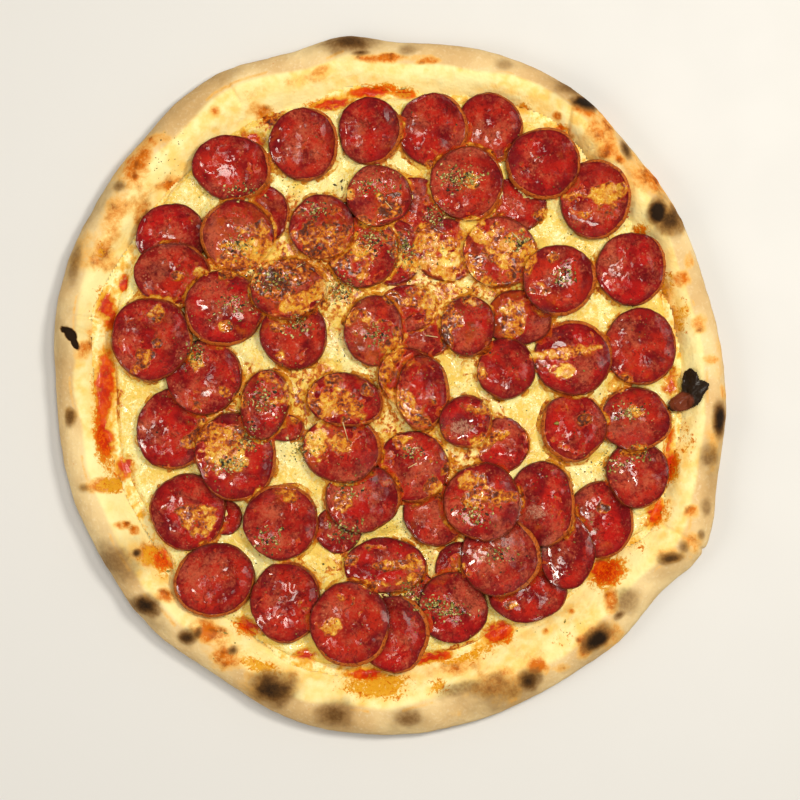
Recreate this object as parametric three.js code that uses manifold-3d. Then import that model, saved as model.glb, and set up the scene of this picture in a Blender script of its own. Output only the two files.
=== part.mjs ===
// A sausage pizza just out of the oven, about 35 cm across: a round of dough with a puffed, uneven rim,
// tomato sauce, melted cheese, overlapping slices of smoked sausage, one burnt crisp and flakes of oregano.
// Millimetres, +Z up. The origin is under the middle of the crust, on the surface that the pizza lies on.

import * as THREE from "three";
import { mergeVertices } from "three/addons/utils/BufferGeometryUtils.js";
import Module from "manifold-3d";

const wasm = await Module();
wasm.setup();

// ---------------------------------------------------------------- driving dimensions

const PIZZA_WIDTH = 345; // left to right across the crust
const FLOOR_THICKNESS = 4.5; // baked dough under the toppings
const RIM_HEIGHT = 17; // average height of the rim's crest
const RIM_ROLLS = { 2: 1.3, 5: 0.9, 11: 0.6 }; // how much higher and lower it gets, by swells round the rim
// Width of the rim from the outline to its inner foot, every 30 degrees anticlockwise from the right.
const RIM_WIDTHS = [26, 24, 25, 30, 32, 29, 26, 30, 30, 36, 36, 33];
const RIM_WIDTH_WAVES = { 7: 1.2 }; // and how much its foot wanders on the way
const SAUCE_THICKNESS = 1.0;
const SAUCE_EDGE_WAVES = { 4: 1.6, 9: 1.1, 17: 0.8 }; // how far in and out its edge runs, by waves round it
const CHEESE_THICKNESS = 2.8;
const CHEESE_EDGE_WAVES = { 3: 1.5, 7: 1.3, 13: 1.0 };
const CHEESE_LUMP = { height: 0.7, length: 34 };
const BARE_LEFT = 2.5; // how much more sauce shows past the cheese on the left
const SLICE_THICKNESS = 2.4;
const SLICE_UNEVENNESS = { 3: 0.012, 5: 0.008 }; // of its outline, as shares of its size
const SLICE_CUP = 1.0; // how far a slice's edge curls up
const SLICE_STIFFNESS = 0.15; // 0 lets a slice follow every step beneath it, 1 keeps it flat
const CRISP_THICKNESS = 4.5; // the burnt crisp at its highest lump
const CRISP_LUMP_LENGTH = 9;
const AIR_GAP = 0.35; // left between pieces that touch
const FLAKE = { length: 3.4, width: 2.0, thickness: 1.1 }; // a large flake of oregano

// ---------------------------------------------------------------- places read off the photograph

// The photograph looks straight down, so a place is given in its pixels and turned into millimetres.
const HUB_PX = { x: 390, y: 389 };
const CRUST_WIDTH_PX = 677;
const MM_PER_PX = PIZZA_WIDTH / CRUST_WIDTH_PX;
const place = (x, y) => new THREE.Vector2(x - HUB_PX.x, HUB_PX.y - y).multiplyScalar(MM_PER_PX);

// The crust's outline: its distance from the hub every 15 degrees, anticlockwise from the right.
const CRUST_RADII_PX = [
  337, 333, 338, 342, 353, 353, 348, 351, 361, 353, 349, 346, 335, 336, 335, 339, 337, 347, 348, 344, 340, 343,
  346, 340,
];
// What stands out of that outline: angle and half width in degrees, and how far in pixels.
const OUTLINE_FEATURES = [
  { angle: 97.5, halfWidth: 4, out: 9 }, // a blister
  { angle: 334, halfWidth: 5, out: 10 }, // the corner where the dough was folded over
  { angle: 322.5, halfWidth: 4, out: -6 }, // the hollow beside it
];

// The sausage slices in the order they were laid, so a later one lies on an earlier one:
// centre x and y, half width, half height, all in pixels, and the turn of the oval in degrees.
const SLICES = [
  [489, 128, 34, 35, 0],
  [433, 130, 35, 37, 0],
  [370, 131, 32, 34, 0],
  [304, 144, 35, 37, 0],
  [232, 168, 40, 33, -8],
  [172, 236, 36, 32, 0],
  [237, 236, 37, 36, 0],
  [172, 430, 36, 41, 0],
  [204, 377, 38, 38, 0],
  [173, 274, 39, 31, 0],
  [152, 339, 41, 42, 0],
  [224, 309, 39, 38, 0],
  [188, 512, 38, 39, 0],
  [215, 580, 41, 37, 15],
  [286, 602, 35, 41, 0],
  [453, 608, 35, 36, 0],
  [394, 634, 36, 39, 0],
  [385, 566, 42, 28, 0],
  [350, 624, 40, 43, 0],
  [527, 590, 40, 33, 0],
  [601, 519, 33, 39, 0],
  [567, 552, 27, 38, 0],
  [541, 504, 34, 43, 0],
  [500, 556, 40, 40, 0],
  [436, 513, 33, 34, 0],
  [413, 467, 36, 36, 0],
  [482, 502, 39, 39, 0],
  [236, 457, 40, 45, 15],
  [281, 522, 38, 38, 0],
  [362, 498, 38, 35, 0],
  [342, 449, 40, 34, 0],
  [265, 404, 24, 36, -10],
  [345, 400, 39, 27, -8],
  [637, 474, 31, 34, 0],
  [635, 419, 36, 32, 0],
  [573, 428, 33, 34, 0],
  [640, 347, 36, 39, 0],
  [573, 358, 39, 38, 0],
  [518, 318, 34, 28, 0],
  [631, 269, 35, 37, 0],
  [595, 200, 35, 40, 0],
  [543, 164, 37, 36, 0],
  [500, 252, 37, 36, 0],
  [559, 280, 37, 36, 0],
  [506, 369, 29, 31, 0],
  [467, 184, 37, 37, 0],
  [363, 250, 36, 38, 0],
  [322, 227, 33, 33, 0],
  [379, 196, 33, 31, 0],
  [294, 335, 34, 35, 0],
  [288, 289, 38, 31, 0],
  [374, 331, 30, 36, 0],
  [408, 377, 30, 30, 0],
  [423, 393, 27, 38, 0],
  [468, 326, 27, 31, 0],
  [466, 422, 27, 27, 0],
];

// The burnt crisp's middle, and how far its outline lies from there every 30 degrees, in pixels.
const CRISP_MIDDLE = place(690, 394);
const CRISP_REACH_PX = [13, 21, 17, 27, 17, 9, 13, 28, 21, 15, 13, 12];

// ---------------------------------------------------------------- small helpers

const radians = THREE.MathUtils.degToRad;
const lerp = THREE.MathUtils.lerp;
const TURN = 2 * Math.PI;

// A repeatable random number from 0 to 1, from Marsaglia's xorshift.
function seededRandom(seed) {
  let state = seed;
  return () => {
    state ^= state << 13;
    state ^= state >>> 17;
    state ^= state << 5;
    return (state >>> 0) / 2 ** 32;
  };
}

// Evenly spaced values round a circle, joined by a smooth curve.
function roundCurve(values, angle) {
  const along = ((angle / TURN + 1) % 1) * values.length;
  const first = Math.floor(along);
  const t = along - first;
  const [a, b, c, d] = [-1, 0, 1, 2].map((step) => values[(first + step + values.length) % values.length]);
  return b + 0.5 * t * (c - a + t * (2 * a - 5 * b + 4 * c - d + t * (3 * (b - c) + d - a)));
}

// The sum of sine waves round a circle, from their sizes by how many there are of each.
function waves(sizes, angle) {
  return Object.entries(sizes).reduce((sum, [count, size]) => sum + size * Math.sin(count * (angle + 0.6)), 0);
}

// A smooth hump of height 1 at middle, where both are angles in radians.
function hump(angle, middle, halfWidth) {
  const apart = Math.atan2(Math.sin(angle - middle), Math.cos(angle - middle));
  return Math.exp(-0.5 * (apart / halfWidth) ** 2);
}

// Gentle unevenness from -1 to 1 in two directions, with swells about as long as the given length.
function swell(x, y, length) {
  const k = TURN / length;
  const first = Math.sin(k * (x + 0.31 * y) + 1.3) * Math.cos(k * (0.87 * y - 0.24 * x) + 0.4);
  const second = Math.sin(k * 1.83 * (y - 0.42 * x) + 2.1) * Math.cos(k * 1.61 * (x + 0.53 * y));
  return 0.62 * first + 0.38 * second;
}

// ---------------------------------------------------------------- the pile's height, cell by cell

// Each piece rests on what was laid before it, so the pile keeps the height of its top on a square grid.
class Pile {
  constructor(halfSize, cell) {
    this.cell = cell;
    this.halfSize = halfSize;
    this.across = Math.ceil((2 * halfSize) / cell);
    this.height = new Float32Array(this.across ** 2);
    this.owner = new Array(this.across ** 2).fill(null);
  }

  // Calls visit(index, wa, wb, wc) for each cell whose middle is in the triangle, with the corners' shares.
  eachCell(a, b, c, visit) {
    const area = (b.x - a.x) * (c.y - a.y) - (c.x - a.x) * (b.y - a.y);
    if (Math.abs(area) < 1e-9) return;
    const toCell = (v) => (v + this.halfSize) / this.cell - 0.5;
    const [left, right] = [Math.min(a.x, b.x, c.x), Math.max(a.x, b.x, c.x)].map(toCell);
    const [low, high] = [Math.min(a.y, b.y, c.y), Math.max(a.y, b.y, c.y)].map(toCell);
    for (let row = Math.ceil(low); row <= high; row++) {
      const y = (row + 0.5) * this.cell - this.halfSize;
      for (let column = Math.ceil(left); column <= right; column++) {
        const x = (column + 0.5) * this.cell - this.halfSize;
        const wb = ((x - a.x) * (c.y - a.y) - (c.x - a.x) * (y - a.y)) / area;
        const wc = ((b.x - a.x) * (y - a.y) - (x - a.x) * (b.y - a.y)) / area;
        const wa = 1 - wb - wc;
        if (wa >= 0 && wb >= 0 && wc >= 0) visit(row * this.across + column, wa, wb, wc);
      }
    }
  }

  cellAt({ x, y }) {
    const [column, row] = [x, y].map((v) => Math.floor((v + this.halfSize) / this.cell));
    return row * this.across + column;
  }

  // The highest point of the pile in a cell and the eight round it.
  highestNear(index) {
    let highest = 0;
    for (const step of [-this.across, 0, this.across]) {
      for (const side of [-1, 0, 1]) highest = Math.max(highest, this.height[index + step + side]);
    }
    return highest;
  }

  raise(index, z, piece) {
    if (z <= this.height[index]) return;
    this.height[index] = z;
    this.owner[index] = piece;
  }

  // Raises the pile to the top of a piece, with its corners, which can stand between the cells' middles.
  cover(piece) {
    for (const point of piece.points) this.raise(this.cellAt(point), point.z, piece);
    for (const [a, b, c] of piece.faces) {
      const [pa, pb, pc] = [a, b, c].map((i) => piece.points[i]);
      this.eachCell(pa, pb, pc, (index, wa, wb, wc) => {
        this.raise(index, wa * pa.z + wb * pb.z + wc * pc.z, piece);
      });
    }
  }

  // The piece on top round a spot and its height there, or null where pieces meet or the top is steep.
  topAt(x, y, reach) {
    const middle = this.cellAt({ x, y });
    const steps = Math.ceil(reach / this.cell);
    for (let up = -steps; up <= steps; up++) {
      for (let side = -steps; side <= steps; side++) {
        const index = middle + up * this.across + side;
        if (this.owner[index] !== this.owner[middle]) return null;
        if (Math.abs(this.height[index] - this.height[middle]) > 0.35 * reach) return null;
      }
    }
    return { piece: this.owner[middle], z: this.height[middle] };
  }
}

// ---------------------------------------------------------------- the crust

const RIM_SIDES = 96;

// The rim's section, from where its underside leaves the table, over the crest, to its inner foot:
// across is a share of the rim's width in from the outline, up a share of its height.
const RIM_SECTION = [
  [0.3, 0.0],
  [0.1, 0.13],
  [0.0, 0.42],
  [0.06, 0.7],
  [0.2, 0.92],
  [0.4, 1.0],
  [0.6, 0.91],
  [0.78, 0.66],
  [0.92, 0.42],
  [1.1, FLOOR_THICKNESS / RIM_HEIGHT],
];

// Blisters where the dough puffed up and charred: angle in degrees, share across the rim, height, half width.
const BLISTERS = [
  { angle: 99, across: 0.15, height: 2.2, halfWidth: 8 },
  { angle: 56, across: 0.35, height: 1.8, halfWidth: 9 },
  { angle: 33, across: 0.35, height: 2.0, halfWidth: 8 },
  { angle: 357, across: 0.22, height: 1.6, halfWidth: 8 },
  { angle: 310, across: 0.45, height: 2.0, halfWidth: 10 },
  { angle: 291, across: 0.35, height: 1.8, halfWidth: 10 },
  { angle: 249, across: 0.4, height: 2.2, halfWidth: 10 },
  { angle: 212, across: 0.35, height: 1.8, halfWidth: 9 },
  { angle: 222, across: 0.3, height: 1.6, halfWidth: 8 },
  { angle: 172, across: 0.25, height: 1.6, halfWidth: 7 },
];

// Where the dough was folded over itself: a slow climb over some degrees that ends in a step.
const FOLDS = [
  { angle: 56, climb: 16, step: 2.4 },
  { angle: 328, climb: 14, step: 2.6 },
];

function crustRadius(angle) {
  const bulges = OUTLINE_FEATURES.map((f) => f.out * hump(angle, radians(f.angle), radians(f.halfWidth)));
  return (roundCurve(CRUST_RADII_PX, angle) + bulges.reduce((a, b) => a + b)) * MM_PER_PX;
}

function rimWidth(angle) {
  return roundCurve(RIM_WIDTHS, angle) + waves(RIM_WIDTH_WAVES, angle);
}

function rimHeight(angle) {
  const folds = FOLDS.map((fold) => {
    const into = ((fold.angle - THREE.MathUtils.radToDeg(angle) + 540) % 360) - 180;
    return into > 0 && into < fold.climb ? fold.step * (1 - into / fold.climb) ** 2 : 0;
  });
  return RIM_HEIGHT + waves(RIM_ROLLS, angle) + folds.reduce((a, b) => a + b);
}

// The rise of the blisters at a place on the rim.
function blisterHeight(angle, across, radius, width) {
  const rise = BLISTERS.map((b) => {
    const inward = ((across - b.across) * width) / b.halfWidth;
    return b.height * hump(angle, radians(b.angle), b.halfWidth / radius) * Math.exp(-0.5 * inward ** 2);
  });
  return rise.reduce((a, b) => a + b);
}

function makeCrust() {
  const points = [new THREE.Vector3(0, 0, 0)];
  for (const [across, up] of RIM_SECTION) {
    for (let side = 0; side < RIM_SIDES; side++) {
      const angle = (side / RIM_SIDES) * TURN;
      const [radius, width, height] = [crustRadius(angle), rimWidth(angle), rimHeight(angle)];
      const blisters = Math.min(1, 2 * up) * blisterHeight(angle, across, radius, width);
      const z = across > 1 ? FLOOR_THICKNESS : up * height + blisters;
      const r = radius - across * width;
      points.push(new THREE.Vector3(r * Math.cos(angle), r * Math.sin(angle), z));
    }
  }
  points.push(new THREE.Vector3(0, 0, FLOOR_THICKNESS));
  const faces = [];
  const at = (ring, side) => 1 + ring * RIM_SIDES + (side % RIM_SIDES);
  const last = RIM_SECTION.length - 1;
  for (let side = 0; side < RIM_SIDES; side++) {
    faces.push([0, at(0, side + 1), at(0, side)]);
    for (let ring = 0; ring < last; ring++) {
      faces.push([at(ring, side), at(ring, side + 1), at(ring + 1, side + 1)]);
      faces.push([at(ring, side), at(ring + 1, side + 1), at(ring + 1, side)]);
    }
    faces.push([at(last, side), at(last, side + 1), points.length - 1]);
  }
  return { name: "crust", points, faces };
}

// ---------------------------------------------------------------- pieces that are laid on the pile

const SETTLE_STEPS = 90;
const FALL = 0.12; // how far a piece drops at each step of settling

// Pulls heights towards the plane that fits them best, as a piece that resists bending does.
function flatten(points, z, stiffness) {
  const mean = (values) => values.reduce((a, b) => a + b) / values.length;
  const [mx, my, mz] = [mean(points.map((p) => p.x)), mean(points.map((p) => p.y)), mean([...z])];
  let [xx, xy, yy, xz, yz] = [0, 0, 0, 0, 0];
  points.forEach((p, i) => {
    const [dx, dy, dz] = [p.x - mx, p.y - my, z[i] - mz];
    xx += dx * dx;
    xy += dx * dy;
    yy += dy * dy;
    xz += dx * dz;
    yz += dy * dz;
  });
  const slopeX = (xz * yy - yz * xy) / (xx * yy - xy * xy);
  const slopeY = (yz * xx - xz * xy) / (xx * yy - xy * xy);
  points.forEach((p, i) => {
    z[i] = lerp(z[i], mz + slopeX * (p.x - mx) + slopeY * (p.y - my), stiffness);
  });
}

// Spots all over a sheet's faces, a cell apart, with the corners' shares and how low each spot can come.
function contactSpots(pile, points, faces) {
  const contacts = [];
  for (const corners of faces) {
    const [a, b, c] = corners.map((i) => points[i]);
    const steps = Math.ceil(Math.max(a.distanceTo(b), b.distanceTo(c), c.distanceTo(a)) / pile.cell);
    for (let i = 0; i <= steps; i++) {
      for (let j = 0; j <= steps - i; j++) {
        const shares = [i / steps, j / steps, 1 - (i + j) / steps];
        const spot = new THREE.Vector2();
        [a, b, c].forEach((corner, k) => spot.addScaledVector(corner, shares[k]));
        contacts.push({ corners, shares, floor: pile.highestNear(pile.cellAt(spot)) + AIR_GAP });
      }
    }
  }
  return contacts;
}

// Lets a sheet's underside drop until it rests on the pile, and returns its heights.
function settle(pile, points, faces, stiffness) {
  const contacts = contactSpots(pile, points, faces);
  const highest = contacts.reduce((high, contact) => Math.max(high, contact.floor), 0);
  const z = new Float64Array(points.length).fill(highest);
  const pushUp = () => {
    for (const { corners, shares, floor } of contacts) {
      const [a, b, c] = corners;
      const [wa, wb, wc] = shares;
      const short = floor - (wa * z[a] + wb * z[b] + wc * z[c]);
      if (short <= 0) continue;
      const push = short / (wa * wa + wb * wb + wc * wc);
      z[a] += push * wa;
      z[b] += push * wb;
      z[c] += push * wc;
    }
  };
  for (let step = 0; step < SETTLE_STEPS; step++) {
    z.forEach((_, i) => (z[i] -= FALL));
    pushUp();
    if (stiffness > 0) flatten(points, z, stiffness);
  }
  pushUp();
  return z;
}

// A sheet with a closed outline, laid on the pile: reach(angle) is its outline round the centre, rings the
// shares of that reach where it has points, and thickness(share, x, y) and curl(share) shape its two faces.
function laySheet(pile, { name, centre, reach, sides, rings, thickness, curl = () => 0, stiffness }) {
  const flat = [centre.clone()];
  const shares = [0];
  for (const ring of rings) {
    for (let side = 0; side < sides; side++) {
      const angle = (side / sides) * TURN;
      const r = ring * reach(angle);
      flat.push(new THREE.Vector2(centre.x + r * Math.cos(angle), centre.y + r * Math.sin(angle)));
      shares.push(ring);
    }
  }
  const at = (ring, side) => 1 + ring * sides + (side % sides);
  const topFaces = [];
  for (let side = 0; side < sides; side++) {
    topFaces.push([0, at(0, side), at(0, side + 1)]);
    for (let ring = 0; ring < rings.length - 1; ring++) {
      topFaces.push([at(ring, side), at(ring + 1, side), at(ring + 1, side + 1)]);
      topFaces.push([at(ring, side), at(ring + 1, side + 1), at(ring, side + 1)]);
    }
  }
  const under = settle(pile, flat, topFaces, stiffness);
  const count = flat.length;
  const bottom = flat.map((p, i) => new THREE.Vector3(p.x, p.y, under[i] + curl(shares[i])));
  const top = bottom.map((p, i) => new THREE.Vector3(p.x, p.y, p.z + thickness(shares[i], p.x, p.y)));
  const faces = topFaces.map((face) => face.map((i) => i + count));
  for (const [a, b, c] of topFaces) faces.push([a, c, b]);
  const edge = rings.length - 1;
  for (let side = 0; side < sides; side++) {
    const [a, b] = [at(edge, side), at(edge, side + 1)];
    faces.push([a, b, b + count]);
    faces.push([a, b + count, a + count]);
  }
  const piece = { name, points: [...bottom, ...top], faces };
  pile.cover(piece);
  return piece;
}

// An oval outline with its longer axis turned, and a little unevenness that differs by seed.
function ovalReach(halfWidth, halfHeight, turn, seed) {
  return (angle) => {
    const along = angle - radians(turn);
    const across = Math.hypot(halfHeight * Math.cos(along), halfWidth * Math.sin(along));
    const oval = (halfWidth * halfHeight) / across;
    return oval * (1 + waves(SLICE_UNEVENNESS, angle + seed));
  };
}

// The sauce runs out past the cheese and a little way up the rim, most of all on the left.
function laySauce(pile) {
  const left = (angle) => BARE_LEFT * hump(angle, Math.PI, radians(20));
  const edge = (angle) => waves(SAUCE_EDGE_WAVES, angle) + left(angle);
  return laySheet(pile, {
    name: "sauce",
    centre: new THREE.Vector2(0, 0),
    reach: (angle) => crustRadius(angle) - 0.9 * rimWidth(angle) + edge(angle),
    sides: 48,
    rings: [0.9, 1],
    thickness: (share) => SAUCE_THICKNESS * (share < 1 ? 1 : 0.6),
    stiffness: 0,
  });
}

// The cheese melted into a lumpy sheet that stops short of the sauce in places.
function layCheese(pile) {
  const left = (angle) => BARE_LEFT * hump(angle, Math.PI, radians(23));
  const edge = (angle) => waves(CHEESE_EDGE_WAVES, angle) - left(angle);
  const lumps = (x, y) => CHEESE_LUMP.height * swell(x, y, CHEESE_LUMP.length);
  return laySheet(pile, {
    name: "cheese",
    centre: new THREE.Vector2(0, 0),
    reach: (angle) => crustRadius(angle) - 0.98 * rimWidth(angle) + edge(angle),
    sides: 52,
    rings: [0.2, 0.4, 0.6, 0.8, 0.93, 1],
    thickness: (share, x, y) => (share < 1 ? CHEESE_THICKNESS + lumps(x, y) : 0.5 * CHEESE_THICKNESS),
    stiffness: 0,
  });
}

function laySlice(pile, [x, y, halfWidth, halfHeight, turn], index) {
  return laySheet(pile, {
    name: `sausage_slice_${String(index + 1).padStart(2, "0")}`,
    centre: place(x, y),
    reach: ovalReach(halfWidth * MM_PER_PX, halfHeight * MM_PER_PX, turn, index),
    sides: 18,
    rings: [0.62, 1],
    thickness: (share) => SLICE_THICKNESS * (share < 1 ? 1 : 0.9),
    curl: (share) => (share < 1 ? 0 : SLICE_CUP),
    stiffness: SLICE_STIFFNESS,
  });
}

// The crisp is a scrap of cheese and sausage skin that burnt black on the rim's inner slope.
function layCrisp(pile) {
  const lumps = (x, y) => 0.75 + 0.25 * swell(x, y, CRISP_LUMP_LENGTH);
  return laySheet(pile, {
    name: "burnt_crisp",
    centre: CRISP_MIDDLE,
    reach: (angle) => roundCurve(CRISP_REACH_PX, angle) * MM_PER_PX,
    sides: 24,
    rings: [0.35, 0.7, 0.9, 1],
    thickness: (share, x, y) => Math.max(1, CRISP_THICKNESS * (1 - 0.7 * share ** 2) * lumps(x, y)),
    stiffness: 0,
  });
}

// ---------------------------------------------------------------- solids

function solidOf(geometry) {
  const bare = geometry.clone();
  for (const attribute of ["normal", "uv"]) bare.deleteAttribute(attribute);
  const merged = mergeVertices(bare, 1e-4);
  return new wasm.Manifold(
    new wasm.Mesh({
      numProp: 3,
      vertProperties: merged.attributes.position.array,
      triVerts: new Uint32Array(merged.index.array),
    }),
  );
}

function geometryOf(points, faces) {
  const geometry = new THREE.BufferGeometry().setFromPoints(points);
  geometry.setIndex(faces.flat());
  return geometry;
}

function geometryOfSolid(solid) {
  const { vertProperties, triVerts } = solid.getMesh();
  const geometry = new THREE.BufferGeometry();
  geometry.setAttribute("position", new THREE.BufferAttribute(vertProperties, 3));
  geometry.setIndex(new THREE.BufferAttribute(triVerts, 1));
  return geometry;
}

// ---------------------------------------------------------------- oregano

const FLAKE_COUNT = 56;
const SEASONED_RADIUS = 132; // the flakes lie this far out from the hub at most
const FLAKE_SPACING = 9; // least distance between two of them

// Scatters the largest flakes over the toppings, each clear of the edges of the piece that it lies on.
function scatterFlakes(pile) {
  const random = seededRandom(20451);
  const flakes = [];
  while (flakes.length < FLAKE_COUNT) {
    const [angle, r] = [random() * TURN, SEASONED_RADIUS * random() ** 0.6];
    const [x, y] = [r * Math.cos(angle), r * Math.sin(angle)];
    const turn = random() * TURN;
    const top = pile.topAt(x, y, 0.5 * FLAKE.length);
    const crowded = flakes.some((flake) => Math.hypot(flake.x - x, flake.y - y) < FLAKE_SPACING);
    if (top && !crowded && top.piece.name !== "sauce") flakes.push({ x, y, turn, ...top });
  }
  return flakes;
}

function flakeSolid({ x, y, z, turn }) {
  const flake = new THREE.OctahedronGeometry(1);
  flake.scale(0.5 * FLAKE.length, 0.5 * FLAKE.width, 0.5 * FLAKE.thickness);
  flake.rotateZ(turn);
  flake.translate(x, y, z + 0.15 * FLAKE.thickness);
  return solidOf(flake);
}

// The piece's solid with the flakes that lie on it fused to it.
function seasoned(piece, flakes) {
  const own = flakes.filter((flake) => flake.piece === piece);
  const geometry = geometryOf(piece.points, piece.faces);
  if (!own.length) return geometry;
  return geometryOfSolid(own.reduce((solid, flake) => solid.add(flakeSolid(flake)), solidOf(geometry)));
}

// ---------------------------------------------------------------- materials and assembly

const MATERIALS = {
  crust: new THREE.MeshStandardMaterial({ color: 0xe8c27c, roughness: 0.8, metalness: 0 }),
  sauce: new THREE.MeshStandardMaterial({ color: 0xc8401a, roughness: 0.4, metalness: 0 }),
  cheese: new THREE.MeshStandardMaterial({ color: 0xf4dd8e, roughness: 0.35, metalness: 0 }),
  sausage: new THREE.MeshStandardMaterial({ color: 0x9c2a24, roughness: 0.3, metalness: 0 }),
  crisp: new THREE.MeshStandardMaterial({ color: 0x2c1a14, roughness: 0.6, metalness: 0 }),
};

const PILE_CELL = 1;
const PILE_HALF_SIZE = 0.5 * PIZZA_WIDTH + 25; // past the crust all round

function makePizza() {
  const pile = new Pile(PILE_HALF_SIZE, PILE_CELL);
  const crust = makeCrust();
  pile.cover(crust);
  const pieces = [[crust, MATERIALS.crust]];
  pieces.push([laySauce(pile), MATERIALS.sauce]);
  pieces.push([layCheese(pile), MATERIALS.cheese]);
  SLICES.forEach((slice, index) => pieces.push([laySlice(pile, slice, index), MATERIALS.sausage]));
  pieces.push([layCrisp(pile), MATERIALS.crisp]);

  const flakes = scatterFlakes(pile);
  const pizza = new THREE.Group();
  for (const [piece, material] of pieces) {
    const mesh = new THREE.Mesh(seasoned(piece, flakes), material);
    mesh.name = piece.name;
    pizza.add(mesh);
  }
  const middle = new THREE.Box3().setFromPoints(crust.points).getCenter(new THREE.Vector3());
  pizza.position.set(-middle.x, -middle.y, 0);
  return pizza;
}

export default makePizza();
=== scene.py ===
"""The looks of a whole, uncut sausage pizza, seen from straight above.

The solids give every form: the crust with its raised rim, the sheets of sauce and cheese, the sausage slices
in the order they were laid, and one burnt crisp of cheese on the rim. Each is replaced here by a finer mesh
of the same form. What is added on top: slices that are nearly hidden, browned cheese that melted over the
slices and into the crevices between them, dried herbs and small crumbs. Lengths are in millimetres until a
mesh is made. Places are given as pixels of the 800-pixel photograph.
"""

import math

import bpy
import numpy as np
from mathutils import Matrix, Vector
from mathutils.bvhtree import BVHTree


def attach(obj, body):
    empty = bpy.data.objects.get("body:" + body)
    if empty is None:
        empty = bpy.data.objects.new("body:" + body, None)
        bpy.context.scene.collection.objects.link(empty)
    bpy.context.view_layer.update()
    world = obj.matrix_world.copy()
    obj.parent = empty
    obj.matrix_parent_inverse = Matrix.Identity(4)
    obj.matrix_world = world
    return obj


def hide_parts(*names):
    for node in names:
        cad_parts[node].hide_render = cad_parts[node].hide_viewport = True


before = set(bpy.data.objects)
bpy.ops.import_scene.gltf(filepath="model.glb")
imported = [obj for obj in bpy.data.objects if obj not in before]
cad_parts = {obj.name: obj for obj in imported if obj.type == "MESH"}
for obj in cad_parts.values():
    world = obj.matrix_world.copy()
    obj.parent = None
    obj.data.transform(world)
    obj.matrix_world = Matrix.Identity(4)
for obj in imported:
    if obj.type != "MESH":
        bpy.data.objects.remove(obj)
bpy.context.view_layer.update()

# ---------------------------------------------------------------- sizes

MM = 0.001
MM_PER_PX = 345 / 677  # the crust is 677 pixels wide in the photograph and 345 mm in life
HUB_PX = (390, 389)  # the point that the crust's radii start from
FLOOR_THICKNESS = 4.5

RIM_SIDES = 96  # sides of the solid crust
STEPS_PER_SIDE = 12
STEPS_PER_RING = 9
CREASE_DEPTH = 1.3
CREASE_WIDTH = 1.1

SHEET_STEP = 1.0  # grid of the sauce and the cheese
MELT_STEP = 0.58  # grid of the melted cheese on the slices
CRISP_STEP = 0.4  # grid of the burnt crisp
SLICE_GAP = 0.2  # room left between a sheet and the slices on it
EDGE_DEPTH = 0.5  # how far a sheet runs on under the crust

SLICE_SIDES = 72
SLICE_THICKNESS = 2.4
SLICE_CURL = 1.3  # how far a slice's rim curls up, at most
SLICE_CUP = 1.3  # how far a slice is cupped, from its middle to its rim
TOP_RINGS = [*np.linspace(0.06, 0.84, 14), 0.88, 0.915, 0.945, 0.967, 0.983, 0.994, 1.0]
WALL_RINGS = [0.12, 0.35, 0.65, 0.9]  # share of the way down the casing's wall
UNDER_RINGS = [0.97, 0.85, 0.55]
WALL_BULGE = 0.125
RIM_NEARNESS_PX = 12  # a curled rim belongs to the slice whose middle is that near
PAINTED_SHADE_REACH = 1.3  # how far the painted shade on a slice spreads out from each slice that lies on it
PAINTED_SHADE_PROBES = 6
SAMPLE_STEP = 1.7  # grid on which a slice's underside is read

FLAKES_PER_COUNT = 3  # herb flakes for each one counted in the table of clusters
SCATTERED_FLAKES = 2000
SCATTER_REACH = 150  # radius of the scatter
STALK_RADIUS = 0.22
STALK_SIDES = 5

FROM_ABOVE = 90.0  # height that downward rays start from
FROM_BELOW = -50.0
UP = Vector((0, 0, 1))
DOWN = Vector((0, 0, -1))
FAR = 1e9
TINY = 1e-6

HASH_STEPS = (374761393, 668265263, 1442695041)  # large odd numbers that mix up whole-number places
HASH_SEED = 1274126177
LOW_BITS = 0xFFFFFFFF
HALF_RANGE = 0x7FFFFFFF
CURL_SEED = 500  # added to a slice's own number
SUNK_SEED = 100
HERB_SEED = 5

CAMERA_HEIGHT = 1.1  # metres above the toppings
PICTURE_WIDTH = 800 * MM_PER_PX * MM
PICTURE_MIDDLE_PX = (400, 400)
TOPPING_HEIGHT = 14 * MM
SENSOR_WIDTH = 36.0
FLOOR_HALF_WIDTH = 3.0
FLOOR_DROP = 0.0005

# ---------------------------------------------------------------- what the photograph shows, and where

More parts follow.
